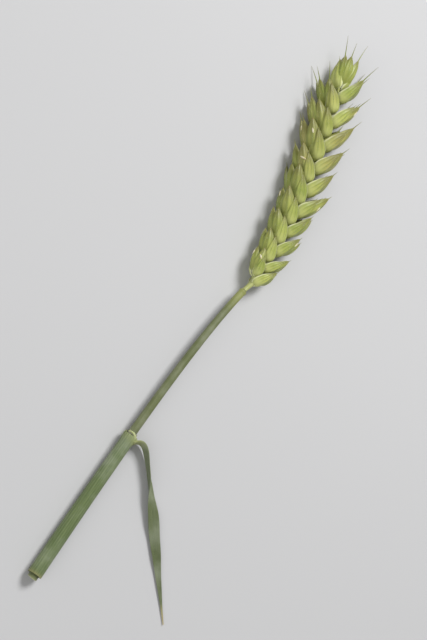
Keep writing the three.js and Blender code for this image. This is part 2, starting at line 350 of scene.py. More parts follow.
def closed_tubes(rings: Array, foot: Array, tip: Array, values: dict[str, Array]) -> Surface:
    """Closed tubes: rows of rings, drawn to a point at both ends.

    Args:
        rings: copies x rows x columns x 3 points, each ring anticlockwise seen from the tip.
        foot: copies x 3 points that the first ring closes on.
        tip: copies x 3 points that the last ring closes on.
        values: values by name, which can be spread to copies x rows x columns. Ends take their rings' values.

    Returns:
        The surface.
    """
    copies, rows, columns, _ = rings.shape
    body = rows * columns
    column = np.arange(columns)
    beside = (column + 1) % columns
    foot_fan = np.stack([np.full(columns, body), beside, column], axis=-1)
    last = body - columns
    tip_fan = np.stack([np.full(columns, body + 1), last + column, last + beside], axis=-1)
    points = np.concatenate([rings.reshape(copies, body, 3), foot[:, None], tip[:, None]], axis=1)
    kept = {}
    for name, value in values.items():
        full = np.broadcast_to(value, (copies, rows, columns)).reshape(copies, body)
        kept[name] = np.concatenate([full, full[:, :1], full[:, -1:]], axis=1).reshape(-1)
    faces = [grid_quads(rows, columns, closed=True), np.concatenate([foot_fan, tip_fan])]
    return Surface(points.reshape(-1, 3), [repeated(f, copies, body + 2) for f in faces], kept)


def needles(foot: Array, way: Array, reach: Array, radius: float) -> Surface:
    """Three-sided needles.

    Args:
        foot: n x 3 points that they stand on.
        way: n x 3 unit vectors that they point along.
        reach: length of each.
        radius: radius at the foot.

    Returns:
        The closed needles, four faces each.
    """
    first = unit(np.cross(way, np.roll(way, 1, axis=-1) + UP))
    second = np.cross(way, first)
    angle = ring_angles(3)[None, :, None]
    base = foot[:, None] + (first[:, None] * np.cos(angle) + second[:, None] * np.sin(angle)) * radius
    points = np.concatenate([base, (foot + way * reach[:, None])[:, None]], axis=1)
    faces = np.array([[0, 2, 1], [0, 1, 3], [1, 2, 3], [2, 0, 3]])
    return Surface(points.reshape(-1, 3), [repeated(faces, len(foot), 4)])


def make_piece(
    name: str, surface: Surface, material: bpy.types.Material, node: Node, slot: Slot
) -> bpy.types.Object:
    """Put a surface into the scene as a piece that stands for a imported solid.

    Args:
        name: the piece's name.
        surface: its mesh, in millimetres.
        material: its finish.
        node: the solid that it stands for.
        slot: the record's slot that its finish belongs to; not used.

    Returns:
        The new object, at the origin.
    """
    mesh = bpy.data.meshes.new(name)
    corners = np.concatenate([face.reshape(-1) for face in surface.faces])
    totals = np.concatenate([np.full(len(face), face.shape[1]) for face in surface.faces])
    mesh.vertices.add(len(surface.points))
    mesh.vertices.foreach_set("co", (surface.points * MM).astype(np.float32).reshape(-1))
    mesh.loops.add(len(corners))
    mesh.loops.foreach_set("vertex_index", corners.astype(np.int32))
    mesh.polygons.add(len(totals))
    mesh.polygons.foreach_set("loop_start", (np.cumsum(totals) - totals).astype(np.int32))
    mesh.update(calc_edges=True)
    mesh.polygons.foreach_set("use_smooth", np.ones(len(totals), bool))
    mesh.set_sharp_from_angle(angle=math.radians(CREASE))
    for value_name, value in surface.values.items():
        layer = mesh.attributes.new(value_name, "FLOAT", "POINT")
        layer.data.foreach_set("value", value.astype(np.float32))
    mesh.materials.append(material)
    piece = bpy.data.objects.new(name, mesh)
    bpy.context.scene.collection.objects.link(piece)
    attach(piece, Body.STALK.value)
    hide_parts(node.value)
    LOG.info("%s: %d points, %d faces", name, len(surface.points), len(totals))
    return piece


class Value:
    """A number socket of a material, with operators that add Math nodes."""

    def __init__(self, pad: "NodePad", socket: bpy.types.NodeSocket) -> None:
        """Wrap a socket of a pad's tree."""
        self.pad = pad
        self.socket = socket

    def _math(self, operation: str, *terms: Union["Value", float]) -> "Value":
        """A Math node on some terms."""
        return self.pad.value("ShaderNodeMath", {"operation": operation}, dict(enumerate(terms)))

    def __add__(self, other: Union["Value", float]) -> "Value":
        """Sum."""
        return self._math("ADD", self, other)

    def __radd__(self, other: float) -> "Value":
        """Sum, number first."""
        return self._math("ADD", other, self)

    def __sub__(self, other: Union["Value", float]) -> "Value":
        """Difference."""
        return self._math("SUBTRACT", self, other)

    def __rsub__(self, other: float) -> "Value":
        """Difference, number first."""
        return self._math("SUBTRACT", other, self)

    def __mul__(self, other: Union["Value", float]) -> "Value":
        """Product."""
        return self._math("MULTIPLY", self, other)

    def __rmul__(self, other: float) -> "Value":
        """Product, number first."""
        return self._math("MULTIPLY", other, self)

    def __pow__(self, other: float) -> "Value":
        """Power."""
        return self._math("POWER", self, other)

    def wave(self, count: float) -> "Value":
        """Cosine ridges from 0 to 1, count of them over a span of 2."""
        return self._math("COSINE", self * (math.pi * count)) * 0.5 + 0.5

    def step(self, low: float, high: float) -> "Value":
        """Smooth step from 0 at low to 1 at high, or falling where low is the greater.

        Args:
            low: the value that gives 0.
            high: the value that gives 1.

        Returns:
            The step.
        """
        start, end, first, last = (low, high, 0.0, 1.0) if low < high else (high, low, 1.0, 0.0)
        inputs = dict(enumerate((self, start, end, first, last)))
        return self.pad.value("ShaderNodeMapRange", {"interpolation_type": "SMOOTHSTEP"}, inputs)


class NodePad:
    """The node tree of one material, with a method that adds any node."""

    NOISE_ROUGHNESS = 0.55
    NOISE_MIDDLE = 0.5
    SOFT_DETAIL = 3.0
    FINE_DETAIL = 4.0
    MIX_SHARE = 0
    MIX_LOW = 6
    MIX_HIGH = 7
    MIX_COLOUR = 2

    def __init__(self, name: str) -> None:
        """Start a material with an empty tree.

        Args:
            name: the material's name.
        """
        self.material = bpy.data.materials.new(name)
        self.material.use_nodes = True
        self.tree = self.material.node_tree
        self.tree.nodes.clear()

    def node(self, kind: str, settings: dict, inputs: dict) -> bpy.types.Node:
        """Add a node.

        Args:
            kind: the node's type.
            settings: its own properties, set first.
            inputs: values or links of its sockets, by name or place.

        Returns:
            The node.
        """
        node = self.tree.nodes.new(kind)
        for key, setting in settings.items():
            setattr(node, key, setting)
        for key, given in inputs.items():
            socket = node.inputs[key]
            if isinstance(given, Value):
                given = given.socket
            if isinstance(given, bpy.types.NodeSocket):
                self.tree.links.new(given, socket)
            elif socket.type == "RGBA":
                socket.default_value = (*given, 1.0)
            else:
                socket.default_value = given
        return node

    def value(self, kind: str, settings: dict, inputs: dict, output: int | str = 0) -> Value:
        """Add a node and take one of its outputs as a number."""
        return Value(self, self.node(kind, settings, inputs).outputs[output])

    def kept(self, name: str) -> Value:
        """A value kept at the mesh's points."""
        return self.value("ShaderNodeAttribute", {"attribute_name": name}, {}, "Fac")

    def noise(self, vector: bpy.types.NodeSocket, scale: float, detail: float) -> Value:
        """Fractal noise, about its middle."""
        inputs = {"Vector": vector, "Scale": scale, "Detail": detail, "Roughness": self.NOISE_ROUGHNESS}
        return self.value("ShaderNodeTexNoise", {}, inputs, "Fac")

    def cloud(self, scale: float) -> Value:
        """Soft noise over the object's own coordinates, in metres."""
        place = self.node("ShaderNodeTexCoord", {}, {}).outputs["Object"]
        return self.noise(place, scale, self.SOFT_DETAIL)

    def grain(self, x: Value, y: Value, z: Value | float) -> Value:
        """Fine noise over three numbers."""
        vector = self.node("ShaderNodeCombineXYZ", {}, {0: x, 1: y, 2: z}).outputs[0]
        return self.noise(vector, 1.0, self.FINE_DETAIL)

    def blend(
        self, share: Value | float, low: Colour | bpy.types.NodeSocket, high: Colour | bpy.types.NodeSocket
    ) -> bpy.types.NodeSocket:
        """A colour between low and high.

        Args:
            share: 0 for low and 1 for high.
            low: the first colour.
            high: the second colour.

        Returns:
            The colour between them.
        """
        settings = {"data_type": "RGBA", "clamp_factor": True}
        inputs = {self.MIX_SHARE: share, self.MIX_LOW: low, self.MIX_HIGH: high}
        return self.node("ShaderNodeMix", settings, inputs).outputs[self.MIX_COLOUR]

    def bump(self, height: Value, depth: float, strength: float) -> bpy.types.NodeSocket:
        """A normal bent by a height, with its depth in millimetres."""
        inputs = {"Height": height, "Distance": depth * MM, "Strength": strength}
        return self.node("ShaderNodeBump", {}, inputs).outputs[0]

    def finish(self, inputs: dict) -> bpy.types.Material:
        """End the material in a Principled shader with these inputs.

        Args:
            inputs: values or links of the shader's sockets, by name.

        Returns:
            The finished material.
        """
        shader = self.node("ShaderNodeBsdfPrincipled", {}, inputs)
        self.node("ShaderNodeOutputMaterial", {}, {"Surface": shader.outputs[0]})
        return self.material


@dataclass(frozen=True)
class Flesh:
    """How light sinks into green tissue: how much, how far in millimetres, and how far each colour goes."""

    weight: float
    depth: float = 0.6
    spread: Colour = (1.0, 1.0, 0.35)

    def inputs(self) -> dict:
        """The Principled shader's inputs.

        Returns:
            Numbers by the names of the sockets.
        """
        return {
            "Subsurface Weight": self.weight,
            "Subsurface Radius": self.spread,
            "Subsurface Scale": self.depth * MM,
        }


@dataclass(frozen=True)
class Tint:
    """A colour laid over others: how strongly, and the values of a mask where it is none and full."""

    colour: Colour
    strength: float
    span: Range

    def over(
        self, under: bpy.types.NodeSocket, mask: Value, within: Value | None = None
    ) -> bpy.types.NodeSocket:
        """Lay the tint over a colour.

        Args:
            under: the colour under it.
            mask: the value whose smooth step over the span brings it in.
            within: a second mask that it is kept within, if any.

        Returns:
            The tinted colour.
        """
        share = mask.step(*self.span) * self.strength
        if within is not None:
            share = share * within
        return mask.pad.blend(share, under, self.colour)


@dataclass(frozen=True)
class Relief:
    """Fine relief of a finish: the shares of ridges and grain, the depth in millimetres and the strength."""

    ridge: float
    grain: float
    depth: float
    strength: float

    def normal(self, ridge: Value, grain: Value) -> bpy.types.NodeSocket:
        """The normal bent by ridges and grain."""
        height = ridge * self.ridge + grain * self.grain
        return height.pad.bump(height, self.depth, self.strength)


@dataclass(frozen=True)
class ChaffFinish:
    """Fresh chaff: a belly between pale margins, paler towards the foot and brightened there by a painted
    highlight, finely nerved, brown-tipped, golden where ripe, with painted shade in a ring inside the margin
    and at the very foot.
    """

    name: str
    green: Colour = (0.33, 0.395, 0.075)
    fresh: Colour = (0.57, 0.61, 0.16)
    # deep: dark green of the nerves and grain streaks, also used as painted shade in the rim ring and at the
    # foot
    deep: Colour = (0.16, 0.215, 0.035)
    tan: Colour = (0.33, 0.22, 0.08)
    tone_share: float = 0.36
    cloud_share: float = 1.3
    freshness: float = -0.15
    golden: Tint = Tint((0.56, 0.46, 0.17), 0.6, (0.4, 1.3))
    golden_from: Range = (0.0, 0.5)
    golden_grain: float = 0.6
    nerve: Tint = Tint(deep, 0.5, (0.1, 0.4))
    nerve_sharpness: float = 3.0
    streak: Tint = Tint(deep, 1.5, (0.1, 0.7))
    streak_floor: float = 0.42
    # belly: the paler lower part of each bract, brightened further as a painted highlight on its bulge
    belly: Tint = Tint((0.77, 0.80, 0.31), 0.6, (0.55, 0.12))
    # rim: painted shade, a darker ring just inside the pale margin standing in for the crevices round each
    # bract
    rim: Tint = Tint(deep, 0.3, (0.28, 0.55))
    shade_ring_end: Range = (0.78, 0.55)
    margin: Tint = Tint((0.83, 0.84, 0.58), 0.75, (0.60, 1.0))
    margin_foot: Range = (0.14, 0.0)
    margin_grain: float = 0.2
    margin_inside: float = 0.5
    tip: Tint = Tint((0.20, 0.19, 0.05), 0.8, (0.66, 1.08))
    tip_grain: float = 0.2
    tip_ripe: float = 0.1
    fleck: Tint = Tint(tan, 0.8, (0.84, 0.96))
    fleck_cloud: float = 0.8
    fleck_grain: float = 0.5
    fleck_tone: float = 0.06
    fleck_from: Range = (0.3, 0.9)
    point: Tint = Tint(tan, 0.6, (0.94, 1.0))
    point_tone: float = 0.02
    # foot: painted shade at the very foot, where each bract is tucked into its spikelet
    foot: Tint = Tint(deep, 0.8, (0.02, 0.0))
    nerves: float = 6.0
    cloud_scale: float = 420.0
    grain_across: float = 26.0
    grain_along: float = 2.5
    grain_tone: float = 9.0
    roughness: float = 0.30
    roughness_grain: float = 0.24
    gloss: float = 0.45
    relief: Relief = Relief(ridge=0.5, grain=0.7, depth=0.08, strength=0.7)
    flesh: Flesh = Flesh(weight=0.08)

    def material(self) -> bpy.types.Material:
        """The material, from the values along, across, tone, ripe and inner that the chaff's meshes keep.

        Returns:
            The finished material.
        """
        pad = NodePad(self.name)
        along, across, tone = pad.kept("along"), pad.kept("across"), pad.kept("tone")
        rib = across.wave(self.nerves)
        cloud = pad.cloud(self.cloud_scale)
        grain = pad.grain(across * self.grain_across, along * self.grain_along, tone * self.grain_tone)
        uneven = grain - pad.NOISE_MIDDLE
        ripe = pad.kept("ripe") + uneven * self.golden_grain
        low = along.step(*self.margin_foot)
        edge = (across * across + low * low) ** 0.5 + uneven * self.margin_grain
        browned = along + grain * self.tip_grain + ripe * self.tip_ripe
        flecked = cloud * self.fleck_cloud + grain * self.fleck_grain + tone * self.fleck_tone
        mottle = tone * self.tone_share + cloud * self.cloud_share + self.freshness
        colour = pad.blend(mottle, self.green, self.fresh)
        colour = self.golden.over(colour, ripe, along.step(*self.golden_from))
        colour = self.nerve.over(colour, along, rib**self.nerve_sharpness)
        colour = self.streak.over(colour, along, grain - self.streak_floor)
        # Paler lower part of the bract, partly a painted highlight on its bulge.
        colour = self.belly.over(colour, along)
        # Painted shade: the darker ring inside the margin, for the crevices between bracts.
        colour = self.rim.over(colour, edge, edge.step(*self.shade_ring_end))
        colour = self.margin.over(colour, edge)
        colour = pad.blend(pad.kept("inner") * self.margin_inside, colour, self.margin.colour)
        colour = self.tip.over(colour, browned)
        colour = self.fleck.over(colour, flecked, along.step(*self.fleck_from))
        colour = self.point.over(colour, along + tone * self.point_tone)
        # Painted shade at the very foot of the bract.
        colour = self.foot.over(colour, along)
        inputs = {
            "Base Color": colour,
            "Roughness": grain * self.roughness_grain + self.roughness,
            "Normal": self.relief.normal(rib, grain),
            "Specular IOR Level": self.gloss,
        }
        return pad.finish(inputs | self.flesh.inputs())


@dataclass(frozen=True)
class StrawFinish:
    """Ribbed straw: grey-green under a patchy bloom, yellower towards the ear, with a pale cut."""

    name: str
    green: Colour = (0.07, 0.09, 0.028)
    light: Colour = (0.195, 0.22, 0.09)
    cut: Colour = (0.52, 0.54, 0.32)
    streak_share: float = 1.5
    lightness: float = -0.35
    rib_share: float = 0.35
    bloom: Tint = Tint((0.29, 0.305, 0.205), 0.5, (0.4, 0.75))
    neck: Tint = Tint((0.40, 0.42, 0.12), 0.55, (0.9, 0.995))
    joint: Tint = Tint(green, 0.75, (0.9965, 1.0))
    ribs: float = 22.0
    cloud_scale: float = 130.0
    streak_across: float = 16.0
    streak_along: float = 9.0
    roughness: float = 0.28
    roughness_cloud: float = 0.24
    relief: Relief = Relief(ridge=0.6, grain=0.5, depth=0.05, strength=0.6)
    flesh: Flesh = Flesh(weight=0.05)

    def material(self) -> bpy.types.Material:
        """The material, from the values along, across and cut that the straw's mesh keeps.

        Returns:
            The finished material.
        """
        pad = NodePad(self.name)
        along, across = pad.kept("along"), pad.kept("across")
        rib = across.wave(self.ribs)
        streak = pad.grain(across * self.streak_across, along * self.streak_along, 0.0)
        cloud = pad.cloud(self.cloud_scale)
        colour = pad.blend(streak * self.streak_share + self.lightness, self.green, self.light)
        colour = pad.blend(rib * self.rib_share, colour, self.light)
        colour = self.bloom.over(colour, cloud)
        colour = self.neck.over(colour, along)
        colour = self.joint.over(colour, along)
        colour = pad.blend(pad.kept("cut"), colour, self.cut)
        inputs = {
            "Base Color": colour,
            "Roughness": cloud * self.roughness_cloud + self.roughness,
            "Normal": self.relief.normal(rib, streak),
        }
        return pad.finish(inputs | self.flesh.inputs())


@dataclass(frozen=True)
class LeafFinish:
    """Leaf: blue-green with fine pale veins, a waxy bloom, a pale collar at the blade and a dry tip."""

    name: str
    green: Colour = (0.07, 0.11, 0.035)
    light: Colour = (0.185, 0.235, 0.095)
    collar: Colour = (0.46, 0.49, 0.22)
    streak_share: float = 1.6
    lightness: float = -0.35
    vein_share: float = 0.4
    vein_sharpness: float = 2.0
    bloom: Tint = Tint((0.34, 0.375, 0.27), 0.55, (0.38, 0.75))
    collar_share: float = 0.8
    dry: Tint = Tint((0.45, 0.37, 0.16), 1.0, (0.0, 0.3))
    dry_streak: float = 0.6
    veins: float = 18.0
    cloud_scale: float = 110.0
    streak_across: float = 14.0
    streak_along: float = 6.0
    streak_layer: float = 3.0
    roughness: float = 0.28
    roughness_cloud: float = 0.24
    relief: Relief = Relief(ridge=0.7, grain=0.4, depth=0.06, strength=0.6)
    flesh: Flesh = Flesh(weight=0.06)

    def material(self) -> bpy.types.Material:
        """The material, from the values along, across, collar and dry that the leaf's meshes keep.

        Returns:
            The finished material.
        """
        pad = NodePad(self.name)
        along, across, dry = pad.kept("along"), pad.kept("across"), pad.kept("dry")
        vein = across.wave(self.veins)
        streak = pad.grain(across * self.streak_across, along * self.streak_along, self.streak_layer)
        cloud = pad.cloud(self.cloud_scale)
        colour = pad.blend(streak * self.streak_share + self.lightness, self.green, self.light)
        colour = pad.blend(vein**self.vein_sharpness * self.vein_share, colour, self.light)
        colour = self.bloom.over(colour, cloud)
        colour = pad.blend(pad.kept("collar") * self.collar_share, colour, self.collar)
        colour = self.dry.over(colour, dry, dry + (streak - pad.NOISE_MIDDLE) * self.dry_streak)
        inputs = {
            "Base Color": colour,
            "Roughness": cloud * self.roughness_cloud + self.roughness,
            "Normal": self.relief.normal(vein, streak),
        }
        return pad.finish(inputs | self.flesh.inputs())


@dataclass(frozen=True)
class MembraneFinish:
    """Dry thin parts: one pale colour clouded into a second."""

    name: str
    pale: Colour
    shade: Colour
    clouding: Range = (0.35, 0.7)
    cloud_scale: float = 900.0
    roughness: float = 0.5
    roughness_cloud: float = 0.2
    relief_depth: float = 0.04
    relief_strength: float = 0.5
    flesh: Flesh = Flesh(weight=0.15)

    def material(self) -> bpy.types.Material:
        """The material.

        Returns:
            The finished material.
        """
        pad = NodePad(self.name)
        cloud = pad.cloud(self.cloud_scale)
        inputs = {
            "Base Color": pad.blend(cloud.step(*self.clouding), self.pale, self.shade),
            "Roughness": cloud * self.roughness_cloud + self.roughness,
            "Normal": pad.bump(cloud, self.relief_depth, self.relief_strength),
        }
        return pad.finish(inputs | self.flesh.inputs())


@dataclass(frozen=True)
class FloorFinish:
    """A plain pale surface with the faintest mottle."""

    name: str = "pale_surface"
    pale: Colour = (0.575, 0.575, 0.58)
    dim: Colour = (0.56, 0.56, 0.565)
    cloud_scale: float = 9.0
    roughness: float = 0.85

    def material(self) -> bpy.types.Material:
        """The material.

        Returns:
            The finished material.
        """
        pad = NodePad(self.name)
        colour = pad.blend(pad.cloud(self.cloud_scale), self.pale, self.dim)
        return pad.finish({"Base Color": colour, "Roughness": self.roughness})


class Finishes:
    """Every finish of the stalk, made once."""

    def __init__(self) -> None:
        """Make the materials."""
        self.glume = ChaffFinish("glume_green").material()
        # Lemmas, paleas and awns: darker green than the glumes with a dim belly, painted shade of the gaps
        # behind the glumes
        self.lemma = ChaffFinish(
            "lemma_green",
            green=(0.26, 0.31, 0.05),
            fresh=(0.45, 0.48, 0.12),
            belly=replace(ChaffFinish.belly, colour=(0.33, 0.36, 0.09)),
            nerves=5.0,
        ).material()
        self.rachis = StrawFinish(
            "rachis_green",
            green=(0.34, 0.38, 0.10),
            light=(0.50, 0.52, 0.20),
            bloom=replace(StrawFinish.bloom, colour=(0.46, 0.48, 0.24)),
            ribs=6.0,
        ).material()
        self.straw = StrawFinish("straw_green").material()
        self.sheath = LeafFinish("sheath_green").material()
        self.blade = LeafFinish(
            "blade_green",
            green=(0.07, 0.10, 0.035),
            light=(0.185, 0.215, 0.10),
        ).material()
        self.ligule = MembraneFinish("ligule_pale", (0.62, 0.62, 0.44), (0.48, 0.50, 0.28)).material()
        self.auricle = MembraneFinish("auricle_pale", (0.50, 0.53, 0.27), (0.38, 0.43, 0.18)).material()
        self.hair = MembraneFinish("hair_pale", (0.66, 0.67, 0.46), (0.55, 0.58, 0.33)).material()
        self.anther = MembraneFinish("anther_cream", (0.84, 0.80, 0.60), (0.66, 0.54, 0.30)).material()


@dataclass(frozen=True)
class BractKind:
    """One kind of bract: its foot in the spikelet, how it is turned, its size and its share of the awn."""

    rise: float
    out: float
    aside: float
    lean: float
    spread: float
    facing: float
    length: float
    half_width: float
    half_depth: float
    sides: tuple[Side, ...]
    awn_share: float


GLUME = BractKind(
    rise=-0.9,
    out=0.0,
    aside=0.7,
    lean=0.0,
    spread=20.0,
    facing=22.0,
    length=10.8,
    half_width=2.6,
    half_depth=1.4,
    sides=(Side.UPPER, Side.LOWER),
    awn_share=0.0,
)
SIDE_FLORET = BractKind(
    rise=0.3,
    out=0.7,
    aside=0.6,
    lean=3.0,
    spread=13.0,
    facing=38.0,
    length=12.0,
    half_width=2.4,
    half_depth=1.6,
    sides=(Side.UPPER, Side.LOWER),
    awn_share=1.0,
)
MIDDLE_FLORET = BractKind(
    rise=1.2,
    out=1.2,
    aside=0.0,
    lean=6.0,
    spread=0.0,
    facing=90.0,
    length=11.2,
    half_width=2.2,
    half_depth=1.7,
    sides=(Side.MIDDLE,),
    awn_share=0.7,
)


@dataclass(frozen=True)
class Seat:
    """Where a spikelet sits: its share of the ear's height, its foot, its unit vectors and how it has grown.

    The vectors point along it, out from the rachis and across its fan.
    """

    share: float
    foot: Array
    along: Array
    out: Array
    fan: Array
    size: float
    awn: float
    opened: float


@dataclass
class Bracts:
    """Many bracts of one sort, one row each, with the bow, bend, curl and flare of their middle lines."""

    foot: Array
    along: Array
    back: Array
    outward: Array
    length: Array
    half_width: Array
    half_depth: Array
    awn: Array
    tone: Array
    ripe: Array
    bend: Array
    curl: Array
    bow: float = 0.45
    flare: float = 0.08

    @property
    def across(self) -> Array:
        """Unit vectors across each bract, so that across, back and along are right-handed."""
        return np.cross(self.back, self.along)

    @property
    def count(self) -> int:
        """How many there are."""
        return len(self.length)

    def chosen(self, rows: Array) -> "Bracts":
        """Some of the bracts."""
        kept = {name: value[rows] for name, value in vars(self).items() if isinstance(value, np.ndarray)}
        return Bracts(**kept, bow=self.bow, flare=self.flare)

    def middle(self, share: Array) -> Array:
        """Middle lines of length L, bend b, bow h, curl c and flare f.

        At share s they run foot + along L s + across b s^2 + back (4 h s (1 - s) + c s^2) + outward f L s^2.

        Args:
            share: shares s from foot to tip, one row for all the bracts or one row for each.

        Returns:
            bracts x shares x 3 points.
        """
        go = self.length[:, None] * share
        side = self.bend[:, None] * share**2
        out = 4.0 * self.bow * share * (1.0 - share) + self.curl[:, None] * share**2
        line = self.foot[:, None] + self.along[:, None] * go[..., None]
        line = line + self.outward[:, None] * (self.flare * go * share)[..., None]
        return line + self.across[:, None] * side[..., None] + self.back[:, None] * out[..., None]

    def around(self, line: Array, side: Array, out: Array) -> Array:
        """Points beside lines of bracts x rows x 3, moved side across and out along the back in columns."""
        place = line[:, :, None] + self.across[:, None, None] * side[..., None]
        return place + self.back[:, None, None] * out[..., None]


@dataclass(frozen=True)
class BoatShape:
    """The form of a thin boat-shaped bract."""

    ROW_SPAN = (0.012, 0.985)
    WAVES = 11.0
    WAVE_SHIFT = 40.0
    RELIEF_SPAN = (0.08, 0.5)
    THICKEST_WALL = 0.45

    foot_power: float
    tip_power: float
    wrap: float
    wall: float
    keel: float
    keel_width: float
    keel_shift: float
    nerves: float
    nerve_height: float
    waviness: float
    rows: int
    columns: int

    def outline(self, share: Array) -> Array:
        """Half-width s^p (1 - s)^q from foot to tip, scaled to reach 1.

        Args:
            share: shares s from foot to tip.

        Returns:
            Half-widths as shares of the widest.
        """
        widest = self.foot_power / (self.foot_power + self.tip_power)
        peak = widest**self.foot_power * (1.0 - widest) ** self.tip_power
        return share**self.foot_power * (1.0 - share) ** self.tip_power / peak

    def shells(self, bracts: Bracts) -> Surface:
        """Shells of many bracts.

        A point at share s along and u across lies W r sin f across and D r cos f out from the middle line,
        with f = wrap u and r the outline, pushed out by a keel shaped as a bell and by the nerves' cosine.
        The inner face is the same section, smaller by the wall. Rows crowd at both ends.

        Args:
            bracts: the bracts.

        Returns:
            The closed shells, with along, across, tone and ripe among their values.
        """
        share = 0.5 - 0.5 * np.cos(np.linspace(*self.ROW_SPAN, self.rows) * math.pi)
        u = np.linspace(1.0, -1.0, self.columns)
        angle = math.radians(self.wrap) * u
        outline = self.outline(share)[None, :, None]
        phase = self.WAVES * share + self.WAVE_SHIFT * bracts.tone[:, None]
        waves = 1.0 + self.waviness * np.sin(phase)[:, :, None]
        wide = bracts.half_width[:, None, None] * outline * waves
        deep = bracts.half_depth[:, None, None] * outline
        shift = self.keel_shift * np.sign(np.sum(bracts.across * bracts.outward, axis=1))[:, None, None]
        rise = smooth(share, *self.RELIEF_SPAN)[None, :, None] * np.sqrt(outline)
        keel = self.keel * hump(u, shift, self.keel_width)
        relief = (keel + self.nerve_height * np.cos(math.pi * self.nerves * u)) * rise
        wall = np.minimum(self.wall, self.THICKEST_WALL * np.minimum(wide, deep))
        line = bracts.middle(share)
        upper = bracts.around(line, (wide + relief) * np.sin(angle), (deep + relief) * np.cos(angle))
        lower = bracts.around(line, (wide - wall) * np.sin(angle), (deep - wall) * np.cos(angle))
        values = {
            "along": share[None, :, None],
            "across": u[None, None, :],
            "tone": bracts.tone[:, None, None],
            "ripe": bracts.ripe[:, None, None],
        }
        return thick_sheets(upper, lower, values)


GLUME_SHAPE = BoatShape(
    foot_power=0.48,
    tip_power=0.98,
    wrap=100.0,
    wall=0.14,
    keel=0.34,
    keel_width=0.10,
    keel_shift=0.18,
    nerves=6.0,
    nerve_height=0.05,
    waviness=0.035,
    rows=26,
    columns=33,
)
LEMMA_SHAPE = BoatShape(
    foot_power=0.55,
    tip_power=0.86,
    wrap=118.0,
    wall=0.12,
    keel=0.14,
    keel_width=0.12,
    keel_shift=0.0,
    nerves=5.0,
    nerve_height=0.04,
    waviness=0.03,
    rows=24,
    columns=31,
)


